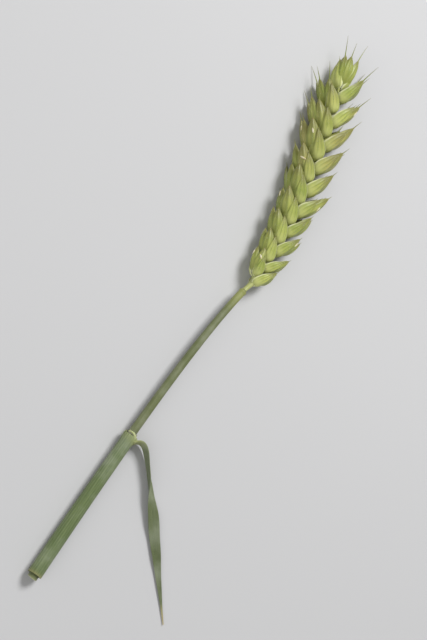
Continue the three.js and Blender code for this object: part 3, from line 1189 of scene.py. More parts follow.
@dataclass
class EarLayout:
    """Where everything on the ear stands: its axis, and its bracts by the same rule as its solid."""

    foot_place: tuple[float, float, float] = (-9.1, 7.75, 4.75)
    length: float = 76.0
    chord_heading: float = -5.0
    foot_heading: float = 14.0
    tip_heading: float = -14.0
    foot_handle: float = 17.0
    tip_handle: float = 30.0
    laterals: int = 19
    neck: float = 4.0
    lowest_lean: float = 18.0
    highest_lean: float = 25.0
    foot_out: float = 0.6
    crowding: float = 1.16
    lowest_size: float = 0.54
    highest_size: float = 0.9
    low_taper: float = 0.6
    high_taper: float = 0.25
    shortest_awn: float = 0.8
    longest_awn: float = 6.5
    awn_growth: float = 3.0
    terminal_opened: float = 0.8
    seed: int = 41
    lean_draw: float = 3.0
    size_draw: float = 0.04
    turn_draw: float = 4.0
    bract_angle_draw: float = 2.5
    bract_size_draw: float = 0.05
    bend_draw: float = 0.24
    curl_draw: float = 0.16
    ripe_share: float = 0.7
    ripe_width: float = 0.24
    ripe_draw: float = 0.3

    def __post_init__(self) -> None:
        """Lay the axis and the bracts."""
        self.foot = np.array(self.foot_place)
        tip = self.foot + self.length * heading(self.chord_heading)
        leave = self.foot + self.foot_handle * heading(self.foot_heading)
        arrive = tip - self.tip_handle * heading(self.tip_heading)
        self.spine = Spine(self.foot, leave, arrive, tip)
        draws = Draws(self.seed)
        rows = [row for seat in self._seats(draws) for row in self._spikelet(seat, draws)]
        looks = np.random.default_rng(self.seed)
        self.glumes = self._gathered([bract for kind, bract in rows if kind is GLUME], looks)
        self.florets = self._gathered([bract for kind, bract in rows if kind is not GLUME], looks)

    def foot_distance(self, index: Array | float) -> Array:
        """Distance along the ear of a spikelet's foot: closer together low on the ear."""
        return mix(self.neck, self.length, (np.asarray(index) / self.laterals) ** self.crowding)

    def size(self, share: float) -> float:
        """Size of a spikelet by its place, from 0 at the lowest to 1 at the highest."""
        low = mix(self.lowest_size, 1.0, smooth(share, -self.low_taper / 2.0, self.low_taper))
        return float(low * mix(1.0, self.highest_size, smooth(share, 1.0 - self.high_taper, 1.0)))

    def _seats(self, draws: Draws) -> Iterator[Seat]:
        """The spikelets' seats, from the lowest to the one at the end, which is turned a quarter round.

        Args:
            draws: the draws that the solid's source makes too.

        Returns:
            The seats, one by one.
        """
        for index in range(self.laterals):
            share = index / (self.laterals - 1)
            at = self.spine.frames(self.foot_distance(index))
            usual = mix(self.lowest_lean, self.highest_lean, share)
            lean = math.radians(usual + self.lean_draw * draws.next())
            turn = math.radians(self.turn_draw * draws.next())
            outward = at.right * (1 if index % 2 == 0 else -1)
            along = at.along * math.cos(lean) + outward * math.sin(lean)
            out = outward * math.cos(lean) - at.along * math.sin(lean)
            yield Seat(
                share=share,
                foot=at.origin + outward * self.foot_out,
                along=along,
                out=turned(out, along, turn),
                fan=turned(at.up, along, turn),
                size=self.size(share) * (1.0 + self.size_draw * draws.next()),
                awn=mix(self.shortest_awn, self.longest_awn, share**self.awn_growth),
                opened=1.0,
            )
        at = self.spine.frames(self.length)
        yield Seat(
            share=1.0,
            foot=at.origin - at.up * self.foot_out,
            along=at.along,
            out=at.up,
            fan=at.right,
            size=self.highest_size,
            awn=self.longest_awn,
            opened=self.terminal_opened,
        )

    def _spikelet(self, seat: Seat, draws: Draws) -> Iterator[tuple[BractKind, dict]]:
        """The bracts of one spikelet, each with its kind and a dict of its values.

        Args:
            seat: where the spikelet sits.
            draws: the draws that the solid's source makes too.

        Returns:
            The bracts, one by one.
        """
        for kind in (GLUME, SIDE_FLORET, MIDDLE_FLORET):
            facing = math.radians(kind.facing)
            for side in (place.value for place in kind.sides):
                lean = math.radians(kind.lean + self.bract_angle_draw * draws.next())
                tilt = math.radians(side * kind.spread * seat.opened + self.bract_angle_draw * draws.next())
                tone = draws.next()
                grown = seat.size * (1.0 + self.bract_size_draw * tone)
                axis = seat.along * math.cos(lean) + seat.out * math.sin(lean)
                axis = unit(axis * math.cos(tilt) + seat.fan * math.sin(tilt))
                back = seat.fan * (side * math.cos(facing)) + seat.out * math.sin(facing)
                foot = seat.foot + seat.size * (seat.along * kind.rise + seat.out * kind.out)
                yield kind, {
                    "foot": foot + seat.fan * (side * kind.aside * seat.size * seat.opened),
                    "along": axis,
                    "back": unit(back - axis * np.dot(back, axis)),
                    "outward": seat.out,
                    "length": kind.length * grown,
                    "half_width": kind.half_width * grown,
                    "half_depth": kind.half_depth * grown,
                    "awn": kind.awn_share * seat.awn * (1.0 + self.bract_size_draw * draws.next()),
                    "tone": tone,
                    "ripe": float(hump(seat.share, self.ripe_share, self.ripe_width)),
                }

    def _gathered(self, rows: list[dict], looks: np.random.Generator) -> Bracts:
        """Bracts from one dict each, with drawn bends and curls and a draw more of ripeness.

        Args:
            rows: the values of each bract, by name.
            looks: draws for what the solid does without.

        Returns:
            The bracts in one.
        """
        arrays = {name: np.array([row[name] for row in rows]) for name in rows[0]}
        arrays["ripe"] = arrays["ripe"] + looks.normal(0.0, self.ripe_draw, len(rows))
        bend = looks.normal(0.0, self.bend_draw, len(rows))
        curl = looks.normal(0.0, self.curl_draw, len(rows))
        return Bracts(**arrays, bend=bend, curl=curl)


@dataclass
class Chaff:
    """The chaff: glumes, lemmas with their awns, and the plump inner scales that close the florets."""

    layout: EarLayout
    beak_share: float = 0.09
    beak_radius: float = 0.22
    awn_radius: float = 0.24
    awn_tip_share: float = 0.1
    awn_taper: float = 0.8
    awn_sunk: float = 1.3
    awn_root: float = -0.02
    awn_span: Range = (0.0, 0.97)
    awn_bow: float = 0.07
    awn_colouring: Range = (0.55, 1.0)
    awn_rows: int = 7
    awn_sides: int = 6
    palea_length: float = 0.95
    palea_width: float = 0.9
    palea_back: float = 0.8
    palea_front: float = 0.72
    palea_span: Range = (0.04, 0.96)
    palea_colouring: float = 0.8
    palea_margin: float = 0.6
    palea_rows: int = 11
    palea_sides: int = 14

    def spine_surface(self, bracts: Bracts, reach: Array, radius: float) -> Surface:
        """Fine spines on the tips of bracts: cones that leave the tip straight and bow out a little.

        Args:
            bracts: the bracts that carry them.
            reach: length of each spine past its bract's tip.
            radius: radius where a spine leaves the tip.

        Returns:
            The spines.
        """
        share = np.linspace(*self.awn_span, self.awn_rows)
        angle = ring_angles(self.awn_sides)
        root = bracts.middle((1.0 - self.awn_sunk / bracts.length)[:, None])
        ends = np.concatenate([[self.awn_root], share, [1.0]])
        go = (reach + self.awn_sunk)[:, None] * ends
        out = self.awn_bow * reach[:, None] * ends**2
        line = root + bracts.along[:, None] * go[..., None] + bracts.back[:, None] * out[..., None]
        size = radius * (1.0 - (1.0 - self.awn_tip_share) * share**self.awn_taper)[None, :, None]
        rings = bracts.around(line[:, 1:-1], size * np.cos(angle), size * np.sin(angle))
        values = {
            "along": mix(*self.awn_colouring, share)[None, :, None],
            "across": np.zeros((1, 1, 1)),
            "tone": bracts.tone[:, None, None],
            "ripe": bracts.ripe[:, None, None],
            "inner": np.zeros((1, 1, 1)),
        }
        return closed_tubes(rings, line[:, 0], line[:, -1], values)

    def palea_surface(self) -> Surface:
        """The inner scales: teardrops inside the lemmas, flatter at the front.

        Returns:
            The closed scales.
        """
        bracts = self.layout.florets
        share = np.linspace(*self.palea_span, self.palea_rows)
        angle = ring_angles(self.palea_sides)
        outline = LEMMA_SHAPE.outline(share)[None, :, None]
        wide = bracts.half_width[:, None, None] * outline * self.palea_width
        fullness = np.where(np.sin(angle) > 0.0, self.palea_back, self.palea_front)
        deep = bracts.half_depth[:, None, None] * outline * fullness
        line = bracts.middle(np.concatenate([[0.0], share, [1.0]]) * self.palea_length)
        rings = bracts.around(line[:, 1:-1], wide * np.cos(angle), deep * np.sin(angle))
        values = {
            "along": share[None, :, None] * self.palea_colouring,
            "across": self.palea_margin * np.cos(angle)[None, None, :],
            "tone": bracts.tone[:, None, None],
            "ripe": bracts.ripe[:, None, None],
            "inner": np.zeros((1, 1, 1)),
        }
        return closed_tubes(rings, line[:, 0], line[:, -1], values)

    def build(self, finishes: Finishes) -> list[bpy.types.Object]:
        """Make and dress the chaff.

        Args:
            finishes: the stalk's finishes.

        Returns:
            The new pieces.
        """
        glumes, florets = self.layout.glumes, self.layout.florets
        beaks = self.spine_surface(glumes, self.beak_share * glumes.length, self.beak_radius)
        awns = self.spine_surface(florets, florets.awn, self.awn_radius)
        pieces = {
            "glumes": (GLUME_SHAPE.shells(glumes), finishes.glume),
            "lemmas": (LEMMA_SHAPE.shells(florets), finishes.lemma),
            "paleas": (self.palea_surface(), finishes.lemma),
            "awns": (Surface.joined([beaks, awns]), finishes.lemma),
        }
        return [make_piece(name, s.lifted(), m, Node.EAR, Slot.EAR) for name, (s, m) in pieces.items()]


@dataclass
class Rachis:
    """The rachis: the ear's zigzag axis, with a cushion at each joint that a spikelet sits on."""

    layout: EarLayout
    half_width: float = 0.75
    half_depth: float = 1.05
    zigzag: float = 0.45
    top_share: float = 0.6
    joint_swell: float = 0.28
    joint_length: float = 0.16
    joint_start: float = 1.0
    start: float = 0.1
    overrun: float = 0.6
    colouring: Range = (0.9, 0.99)
    rows: int = 240
    sides: int = 18
    cushion_length: float = 1.3
    cushion_width: float = 0.92
    cushion_depth: float = 0.62
    cushion_rise: float = 0.75
    cushion_span: Range = (-0.96, 0.96)
    cushion_colouring: float = 0.95
    cushion_rows: int = 9
    cushion_sides: int = 14

    def rod_surface(self) -> Surface:
        """A flat oval rod on the ear's axis, swung out to each foot by a cosine and swollen there.

        Returns:
            The closed rod.
        """
        layout = self.layout
        distance = np.linspace(self.start, layout.length + self.overrun, self.rows)[:, None]
        angle = ring_angles(self.sides)
        joints = np.arange(layout.laterals + 1)
        index = np.interp(distance, layout.foot_distance(joints), joints)
        swing = self.zigzag * np.cos(math.pi * index) * smooth(distance, 0.0, layout.neck)
        swell = self.joint_swell * hump(np.abs(index - np.round(index)), 0.0, self.joint_length)
        taper = mix(1.0, self.top_share, distance / layout.length)
        taper = taper * (1.0 + swell * smooth(distance, self.joint_start, layout.neck))
        at = layout.spine.frames(distance)
        wide, deep = self.half_width * taper, self.half_depth * taper
        rings = at.beside(swing + wide * np.cos(angle), -deep * np.sin(angle))
        middle = at.beside(swing, np.zeros_like(swing))[:, 0]
        values = {
            "along": mix(*self.colouring, distance / layout.length)[None],
            "across": (angle / math.pi - 1.0)[None, None, :],
            "cut": np.zeros((1, 1, 1)),
        }
        return closed_tubes(rings[None], middle[None, 0], middle[None, -1], values)

    def cushion_surface(self) -> Surface:
        """Egg shapes round the feet of each pair of glumes.

        Returns:
            The closed cushions, one under each spikelet.
        """
        glumes = self.layout.glumes
        share = np.linspace(*self.cushion_span, self.cushion_rows)
        angle = ring_angles(self.cushion_sides)
        upper, lower = glumes.foot[0::2], glumes.foot[1::2]
        along = unit(glumes.along[0::2] + glumes.along[1::2])
        fan = unit(upper - lower)
        out = np.cross(fan, along)
        size = np.linalg.norm(upper - lower, axis=1)[:, None]
        middle = (upper + lower) / 2.0 + along * self.cushion_rise * size
        end = along * size * self.cushion_length
        swell = (size * np.sqrt(1.0 - share**2))[:, :, None, None]
        circle = out[:, None] * np.cos(angle)[None, :, None] * self.cushion_depth
        circle = circle + fan[:, None] * np.sin(angle)[None, :, None] * self.cushion_width
        line = middle[:, None] + end[:, None] * share[None, :, None]
        rings = line[:, :, None] + circle[:, None] * swell
        values = {
            "along": np.full((1, 1, 1), self.cushion_colouring),
            "across": (angle / math.pi - 1.0)[None, None, :],
            "cut": np.zeros((1, 1, 1)),
        }
        return closed_tubes(rings, middle - end, middle + end, values)

    def build(self, finishes: Finishes) -> list[bpy.types.Object]:
        """Make and dress the rachis."""
        surface = Surface.joined([self.rod_surface(), self.cushion_surface()]).lifted()
        return [make_piece("rachis", surface, finishes.rachis, Node.EAR, Slot.EAR)]


@dataclass
class EarHairs:
    """Short stiff hairs: on the keels of glumes and lemmas, and in a fringe at each joint of the rachis."""

    layout: EarLayout
    rachis: Rachis
    keel_hairs: int = 26
    keel_stretch: Range = (0.4, 0.97)
    keel_spread: float = 0.12
    keel_share: float = 0.4
    keel_reach: Range = (0.25, 0.6)
    joint_hairs: int = 34
    joint_reach: Range = (0.5, 1.1)
    lie: float = 0.85
    stand: float = 0.58
    untidiness: float = 0.16
    radius: float = 0.035

    def keel_feet(
        self, bracts: Bracts, shape: BoatShape, draws: np.random.Generator
    ) -> tuple[Array, Array]:
        """Feet and ways of hairs drawn along the keels of bracts, as two n x 3 arrays.

        Args:
            bracts: the bracts that carry them.
            shape: the form of those bracts.
            draws: the hairs' own draws.

        Returns:
            The feet, and the ways that the hairs point.
        """
        counts = (bracts.count, self.keel_hairs)
        share = drawn_between(draws, self.keel_stretch, counts)
        angle = math.radians(shape.wrap) * draws.normal(0.0, self.keel_spread, counts)
        outline = shape.outline(share)
        side = bracts.half_width[:, None] * outline * np.sin(angle)
        out = bracts.half_depth[:, None] * outline * np.cos(angle) + shape.keel * self.keel_share
        foot = bracts.around(bracts.middle(share), side[..., None], out[..., None])
        lying = bracts.along[:, None] * np.full(counts, self.lie)[..., None]
        side, out = self.stand * np.sin(angle), self.stand * np.cos(angle)
        way = bracts.around(lying, side[..., None], out[..., None])
        return foot.reshape(-1, 3), way.reshape(-1, 3)

    def joint_feet(self, draws: np.random.Generator) -> tuple[Array, Array]:
        """Feet and ways of hairs drawn round the joints of the rachis, as two n x 3 arrays.

        Args:
            draws: the hairs' own draws.

        Returns:
            The feet, and the ways that the hairs point.
        """
        layout, rachis = self.layout, self.rachis
        index = np.repeat(np.arange(layout.laterals), self.joint_hairs)
        at = layout.spine.frames(layout.foot_distance(index))
        angle = draws.random(len(index)) * 2.0 * math.pi
        taper = mix(1.0, rachis.top_share, index / layout.laterals) * (1.0 + rachis.joint_swell / 2.0)
        swing = rachis.zigzag * np.where(index % 2 == 0, 1.0, -1.0)
        side, lift = rachis.half_width * taper * np.cos(angle), rachis.half_depth * taper * np.sin(angle)
        foot = at.beside(swing + side, lift)
        out = at.right * np.cos(angle)[:, None] + at.up * np.sin(angle)[:, None]
        return foot, at.along * self.lie + out * self.stand

    def build(self, finishes: Finishes) -> list[bpy.types.Object]:
        """Make and dress the hairs.

        Args:
            finishes: the stalk's finishes.

        Returns:
            The new piece.
        """
        draws = np.random.default_rng(self.layout.seed)
        groups = [
            (self.keel_feet(self.layout.glumes, GLUME_SHAPE, draws), self.keel_reach),
            (self.keel_feet(self.layout.florets, LEMMA_SHAPE, draws), self.keel_reach),
            (self.joint_feet(draws), self.joint_reach),
        ]
        foot = np.concatenate([group[0] for group, _ in groups])
        way = np.concatenate([group[1] for group, _ in groups])
        reach = np.concatenate([drawn_between(draws, limits, len(group[0])) for group, limits in groups])
        way = unit(way + draws.normal(0.0, self.untidiness, way.shape))
        surface = needles(foot, way, reach, self.radius).lifted()
        return [make_piece("ear_hairs", surface, finishes.hair, Node.EAR, Slot.EAR)]


@dataclass
class Anthers:
    """A few withered anthers caught on the florets: small two-lobed rods, bent a little."""

    layout: EarLayout
    count: int = 9
    length: Range = (1.6, 2.5)
    place: Range = (0.5, 0.78)
    radius: float = 0.27
    bluntness: float = 0.4
    groove: float = 0.42
    groove_power: float = 1.5
    lean: float = 0.55
    lift: float = 0.2
    droop: float = 0.25
    lowest_back: float = -0.2
    span: Range = (0.03, 0.97)
    rows: int = 9
    sides: int = 12

    def surface(self) -> Surface:
        """Rods on the florets' backs, whose section is a circle pinched where it faces out and in.

        Returns:
            The closed rods.
        """
        draws = np.random.default_rng(self.layout.seed + 1)
        open_backs = np.flatnonzero(self.layout.florets.back[:, 2] > self.lowest_back)
        bracts = self.layout.florets.chosen(draws.choice(open_backs, self.count, replace=False))
        share = np.linspace(*self.span, self.rows)
        angle = ring_angles(self.sides)
        length = drawn_between(draws, self.length, self.count)
        place = drawn_between(draws, self.place, self.count)
        lean = draws.normal(0.0, self.lean, self.count)
        out = bracts.half_depth * LEMMA_SHAPE.outline(place) + self.lift
        start = bracts.middle(place[:, None])[:, 0] + bracts.back * out[:, None]
        way = unit(bracts.along * np.cos(lean)[:, None] + bracts.across * np.sin(lean)[:, None])
        side = np.cross(bracts.back, way)
        go = (length[:, None] * (share - 0.5))[..., None]
        sag = (length[:, None] * self.droop * (share - 0.5) ** 2)[..., None]
        line = start[:, None] + way[:, None] * go - bracts.back[:, None] * sag
        radius = self.radius * np.sin(math.pi * share) ** self.bluntness
        lobes = 1.0 - self.groove * np.abs(np.sin(angle)) ** self.groove_power
        circle = side[:, None] * (np.cos(angle) * lobes)[None, :, None]
        circle = circle + bracts.back[:, None] * (np.sin(angle) * lobes)[None, :, None]
        rings = line[:, :, None] + circle[:, None] * radius[None, :, None, None]
        return closed_tubes(rings, line[:, 0], line[:, -1], {})

    def build(self, finishes: Finishes) -> list[bpy.types.Object]:
        """Make and dress the anthers."""
        return [make_piece("anthers", self.surface().lifted(), finishes.anther, Node.EAR, Slot.EAR)]


@dataclass
class Straw:
    """The stem: a ribbed straw from its hollow cut to a small collar under the ear."""

    ear_foot: Array
    ear_heading: float
    length: float = 109.0
    chord_heading: float = 6.0
    cut_heading: float = 4.0
    cut_handle: float = 42.0
    top_handle: float = 24.0
    cut_height: float = 2.45
    cut_radius: float = 1.55
    top_radius: float = 1.15
    collar_radius: float = 1.35
    collar_length: float = 1.6
    collar_lengths: float = 2.0
    collar_first: float = 0.06
    collar_power: float = 0.7
    collar_rows: int = 22
    crown_round: float = 0.55
    crown_overrun: float = 0.25
    crown_reach: float = 1.4
    crown_power: float = 1.5
    crown_tip: float = 1.2
    bore_radius: float = 0.95
    bore_depth: float = 8.5
    bore_steps: tuple[float, ...] = (1.0, 0.5, 0.02, 0.0)
    bore_widths: tuple[float, ...] = (0.75, 1.0, 1.0, 1.06)
    cut_slant: float = 0.3
    cut_slant_reach: float = 1.2
    cut_edge: float = 0.08
    cut_pale_edges: float = 1.5
    shaft_edges: float = 4.0
    shaft_rows: int = 150
    ribs: int = 22
    rib_height: float = 0.018
    rib_columns: int = 4

    def __post_init__(self) -> None:
        """Lay the stem's curve."""
        cut = self.ear_foot - self.length * heading(self.chord_heading)
        cut[2] = self.cut_height
        leave = cut + self.cut_handle * heading(self.cut_heading)
        arrive = self.ear_foot - self.top_handle * heading(self.ear_heading)
        self.spine = Spine(cut, leave, arrive, self.ear_foot)

    @property
    def collar_start(self) -> float:
        """Distance from the cut where the ribs begin to fade into the collar."""
        return self.spine.length - self.collar_lengths * self.collar_length

    def radius(self, distance: Array | float) -> Array:
        """Radius some distance from the cut, narrowing upwards to a collar under the ear.

        Args:
            distance: distances from the cut.

        Returns:
            The radii there.
        """
        total = self.spine.length
        taper = mix(self.cut_radius, self.top_radius, distance / total)
        return mix(taper, self.collar_radius, smooth(distance, total - self.collar_length, total))

    def profile(self) -> tuple[Array, Array, Array]:
        """The straw's profile, from the bottom of the bore out to the cut and up the wall.

        Returns:
            Distances from the cut, radii, and 1 on the outside or 0 in the bore.
        """
        total = self.spine.length
        bore = np.array(self.bore_steps) * self.bore_depth
        bore_radius = np.array(self.bore_widths) * self.bore_radius
        shaft = np.linspace(self.shaft_edges * self.cut_edge, self.collar_start, self.shaft_rows)
        crowded = np.linspace(self.collar_first, 1.0, self.collar_rows) ** self.collar_power
        collar = mix(self.collar_start, total + self.crown_overrun, crowded)
        wall = np.concatenate([[0.0, self.cut_edge], shaft, collar])
        closing = smooth(wall, total - self.crown_round, total + self.crown_overrun * self.crown_reach)
        crown = self.collar_radius * self.crown_round * closing**self.crown_power
        edge = self.cut_edge * smooth(wall, self.cut_edge, 0.0)
        wall_radius = self.radius(np.clip(wall, 0.0, total)) - crown - edge
        outside = np.concatenate([np.zeros(len(bore)), np.ones(len(wall))])
        return np.concatenate([bore, wall]), np.concatenate([bore_radius, wall_radius]), outside

    def surface(self) -> Surface:
        """The profile carried round and along the curve, with fine ribs and a slanted cut.

        Returns:
            The closed straw.
        """
        total = self.spine.length
        distance, radius, outside = (column[:, None] for column in self.profile())
        angle = ring_angles(self.ribs * self.rib_columns)
        slant = self.cut_slant * np.exp(-distance / self.cut_slant_reach) * np.sin(angle)
        ribbed = outside * (1.0 - smooth(distance, self.collar_start, total))
        reach = radius + self.rib_height * ribbed * np.cos(self.ribs * angle)
        rings = self.spine.frames(distance + slant).around(reach, angle)
        tip = total + self.crown_overrun * self.crown_tip
        ends = self.spine.frames(np.array([self.bore_depth, tip])).origin
        pale = np.maximum(1.0 - outside, np.exp(-distance / (self.cut_pale_edges * self.cut_edge)))
        values = {
            "along": (distance / total)[None],
            "across": (angle / math.pi - 1.0)[None, None, :],
            "cut": pale[None],
        }
        return closed_tubes(rings[None], ends[None, 0], ends[None, 1], values)

    def build(self, finishes: Finishes) -> list[bpy.types.Object]:
        """Make and dress the straw."""
        return [make_piece("straw", self.surface(), finishes.straw, Node.STEM, Slot.STEM)]


@dataclass
class LeafSheath:
    """The flag leaf's sheath: a sheet rolled round the lower stem, one edge over the other."""

    straw: Straw
    start: float = 1.2
    length: float = 50.0
    solid_gap: float = 0.3
    clearance: float = 0.14
    wall: float = 0.26
    lap: float = 70.0
    lap_clearance: float = 0.07
    edge_thinning: float = 0.6
    edge_width: float = 0.14
    seam_angle: float = 60.0
    veins: int = 18
    vein_height: float = 0.035
    mouth_flare: float = 0.25
    mouth_length: float = 4.0
    mouth_slant: float = 0.5
    mouth_turn: float = 0.6
    collar_least: float = 0.35
    collar_span: Range = (-0.2, 0.8)
    dry_foot: float = 0.35
    rows: int = 110
    columns: int = 150

    @property
    def mouth(self) -> float:
        """Distance of the sheath's mouth from the stem's cut."""
        return self.start + self.length

    def surface(self) -> Surface:
        """The rolled sheet.

        At height h and turn t its radius is the stem's, plus a clearance, a flare at the mouth and a pitch
        times t, so that the last part of the turn lies over the first and thins to an edge. Veins are cosine
        ridges.

        Returns:
            The sheet.
        """
        height = np.linspace(0.0, self.length, self.rows)[:, None]
        full_turn = 2.0 * math.pi + math.radians(self.lap)
        turn = np.linspace(0.0, full_turn, self.columns)
        angle = turn - math.radians(self.seam_angle)
        near_mouth = smooth(height, self.length - self.mouth_length, self.length)
        pitch = (self.wall + self.lap_clearance) / (2.0 * math.pi)
        stem = self.straw.radius(self.start + height)
        inner = stem + self.clearance + self.mouth_flare * near_mouth + pitch * turn
        thinned = 1.0 - self.edge_thinning * hump(turn, full_turn, self.edge_width)
        outer = inner + self.wall * thinned + self.vein_height * np.cos(self.veins * turn)
        slant = self.mouth_slant * np.sin(turn - self.mouth_turn) * near_mouth
        at = self.straw.spine.frames(self.start + height + slant)
        towards_blade = smooth(np.cos(angle), *self.collar_span)
        values = {
            "along": (height / self.length)[None],
            "across": (turn / math.pi - 1.0)[None, None, :],
            "collar": (near_mouth * mix(self.collar_least, 1.0, towards_blade))[None],
            "dry": self.dry_foot * np.exp(-height / self.start)[None],
        }
        return thick_sheets(at.around(outer, angle)[None], at.around(inner, angle)[None], values)

    def build(self, finishes: Finishes) -> list[bpy.types.Object]:
        """Make and dress the sheath."""
        return [make_piece("leaf_sheath", self.surface().lifted(), finishes.sheath, Node.LEAF, Slot.LEAF)]


@dataclass
class LeafBlade:
    """The flag leaf's blade: a narrow strip bent back from the sheath's mouth, down to the surface."""

    sheath: LeafSheath
    length: float = 56.0
    half_width: float = 2.1
    root_half_width: float = 2.0
    tip_half_width: float = 0.12
    belly: float = 0.3
    taper: Range = (0.4, 1.05)
    thickness: float = 0.34
    tip_thickness: float = 0.35
    solid_thickness: float = 0.6
    root_sunk: float = 2.0
    chord_heading: float = 135.0
    root_heading: float = 40.0
    tip_heading: float = 140.0
    root_handle: float = 6.0
    tip_handle: float = 50.0
    tip_height: float = 0.4
    root_curl: float = 51.0
    curl: float = 24.0
    uncurled: float = 0.2
    twist: Range = (0.08, 0.55)
    veins: int = 9
    vein_height: float = 0.035
    midrib: float = 0.22
    midrib_width: float = 0.11
    midrib_groove: float = 0.25
    edge_wave: float = 0.16
    edge_waves: float = 5.0
    edge_power: int = 8
    edge_least: float = 0.12
    collar_length: float = 3.2
    dry_tip: Range = (0.86, 1.0)
    rows: int = 190
    row_power: float = 1.7
    columns: int = 45

    def curve(self) -> Spine:
        """The blade's middle line, from inside the sheath's mouth to its tip on the surface.

        Returns:
            The curve.
        """
        sheath, straw = self.sheath, self.sheath.straw
        at = straw.spine.frames(sheath.mouth - self.root_sunk)
        solid = float(straw.radius(sheath.mouth)) + sheath.solid_gap + sheath.mouth_flare
        root = at.origin + at.right * (solid + self.solid_thickness / 2.0)
        tip = root + self.length * heading(self.chord_heading)
        tip[2] = self.tip_height
        leave = root + self.root_handle * heading(self.root_heading)
        arrive = tip - self.tip_handle * heading(self.tip_heading)
        return Spine(root, leave, arrive, tip)

    def surface(self) -> Surface:
        """The blade: an arc of a circle across, carried along the curve.

        Across c and along s, the section's radius is half-width / curl and its angle c curl, and the sheet
        turns by the twist from standing on its edge to lying flat. Veins are ridges on the upper face, the
        midrib is one below, and the edges wave.

        Returns:
            The blade.
        """
        share = np.linspace(0.0, 1.0, self.rows)[:, None] ** self.row_power
        c = np.linspace(-1.0, 1.0, self.columns)
        curve = self.curve()
        at = curve.frames(share * curve.length)
        widest = mix(self.root_half_width, self.half_width, smooth(share, 0.0, self.belly))
        half = mix(widest, self.tip_half_width, smooth(share, *self.taper))
        twist = (math.pi / 2.0 * smooth(share, *self.twist))[..., None]
        curl = np.radians(mix(self.root_curl, self.curl, smooth(share, 0.0, self.uncurled)))
        sheet = Frames(
            origin=at.origin,
            along=at.along,
            right=at.up * np.cos(twist) + at.right * np.sin(twist),
            up=at.up * np.sin(twist) - at.right * np.cos(twist),
        )
        radius = half / curl
        angle = c * curl
        fullness = smooth(half, 0.0, self.half_width)
        wave = self.edge_wave * fullness * c**2 * np.sin(2.0 * math.pi * self.edge_waves * share)
        vein = self.vein_height * np.cos(2.0 * math.pi * self.veins * c) * fullness
        midrib = self.midrib * hump(c, 0.0, self.midrib_width) * fullness
        rounded = np.sqrt(np.maximum(1.0 - c**self.edge_power, self.edge_least))
        face = self.thickness / 2.0 * rounded * mix(self.tip_thickness, 1.0, fullness)

        def placed(offset: Array) -> Array:
            """Points of the sheet moved by offset towards its upper side."""
            ring = radius - offset
            return sheet.beside(ring * np.sin(angle), radius - ring * np.cos(angle) + wave)

        values = {
            "along": share[None],
            "across": c[None, None, :],
            "collar": hump(share * curve.length, 0.0, self.collar_length)[None],
            "dry": smooth(share, *self.dry_tip)[None],
        }
        upper = placed(face + vein - midrib * self.midrib_groove)
        return thick_sheets(upper[None], placed(-face - midrib)[None], values)

    def build(self, finishes: Finishes) -> list[bpy.types.Object]:
        """Make and dress the blade."""
        return [make_piece("leaf_blade", self.surface().lifted(), finishes.blade, Node.LEAF, Slot.LEAF)]


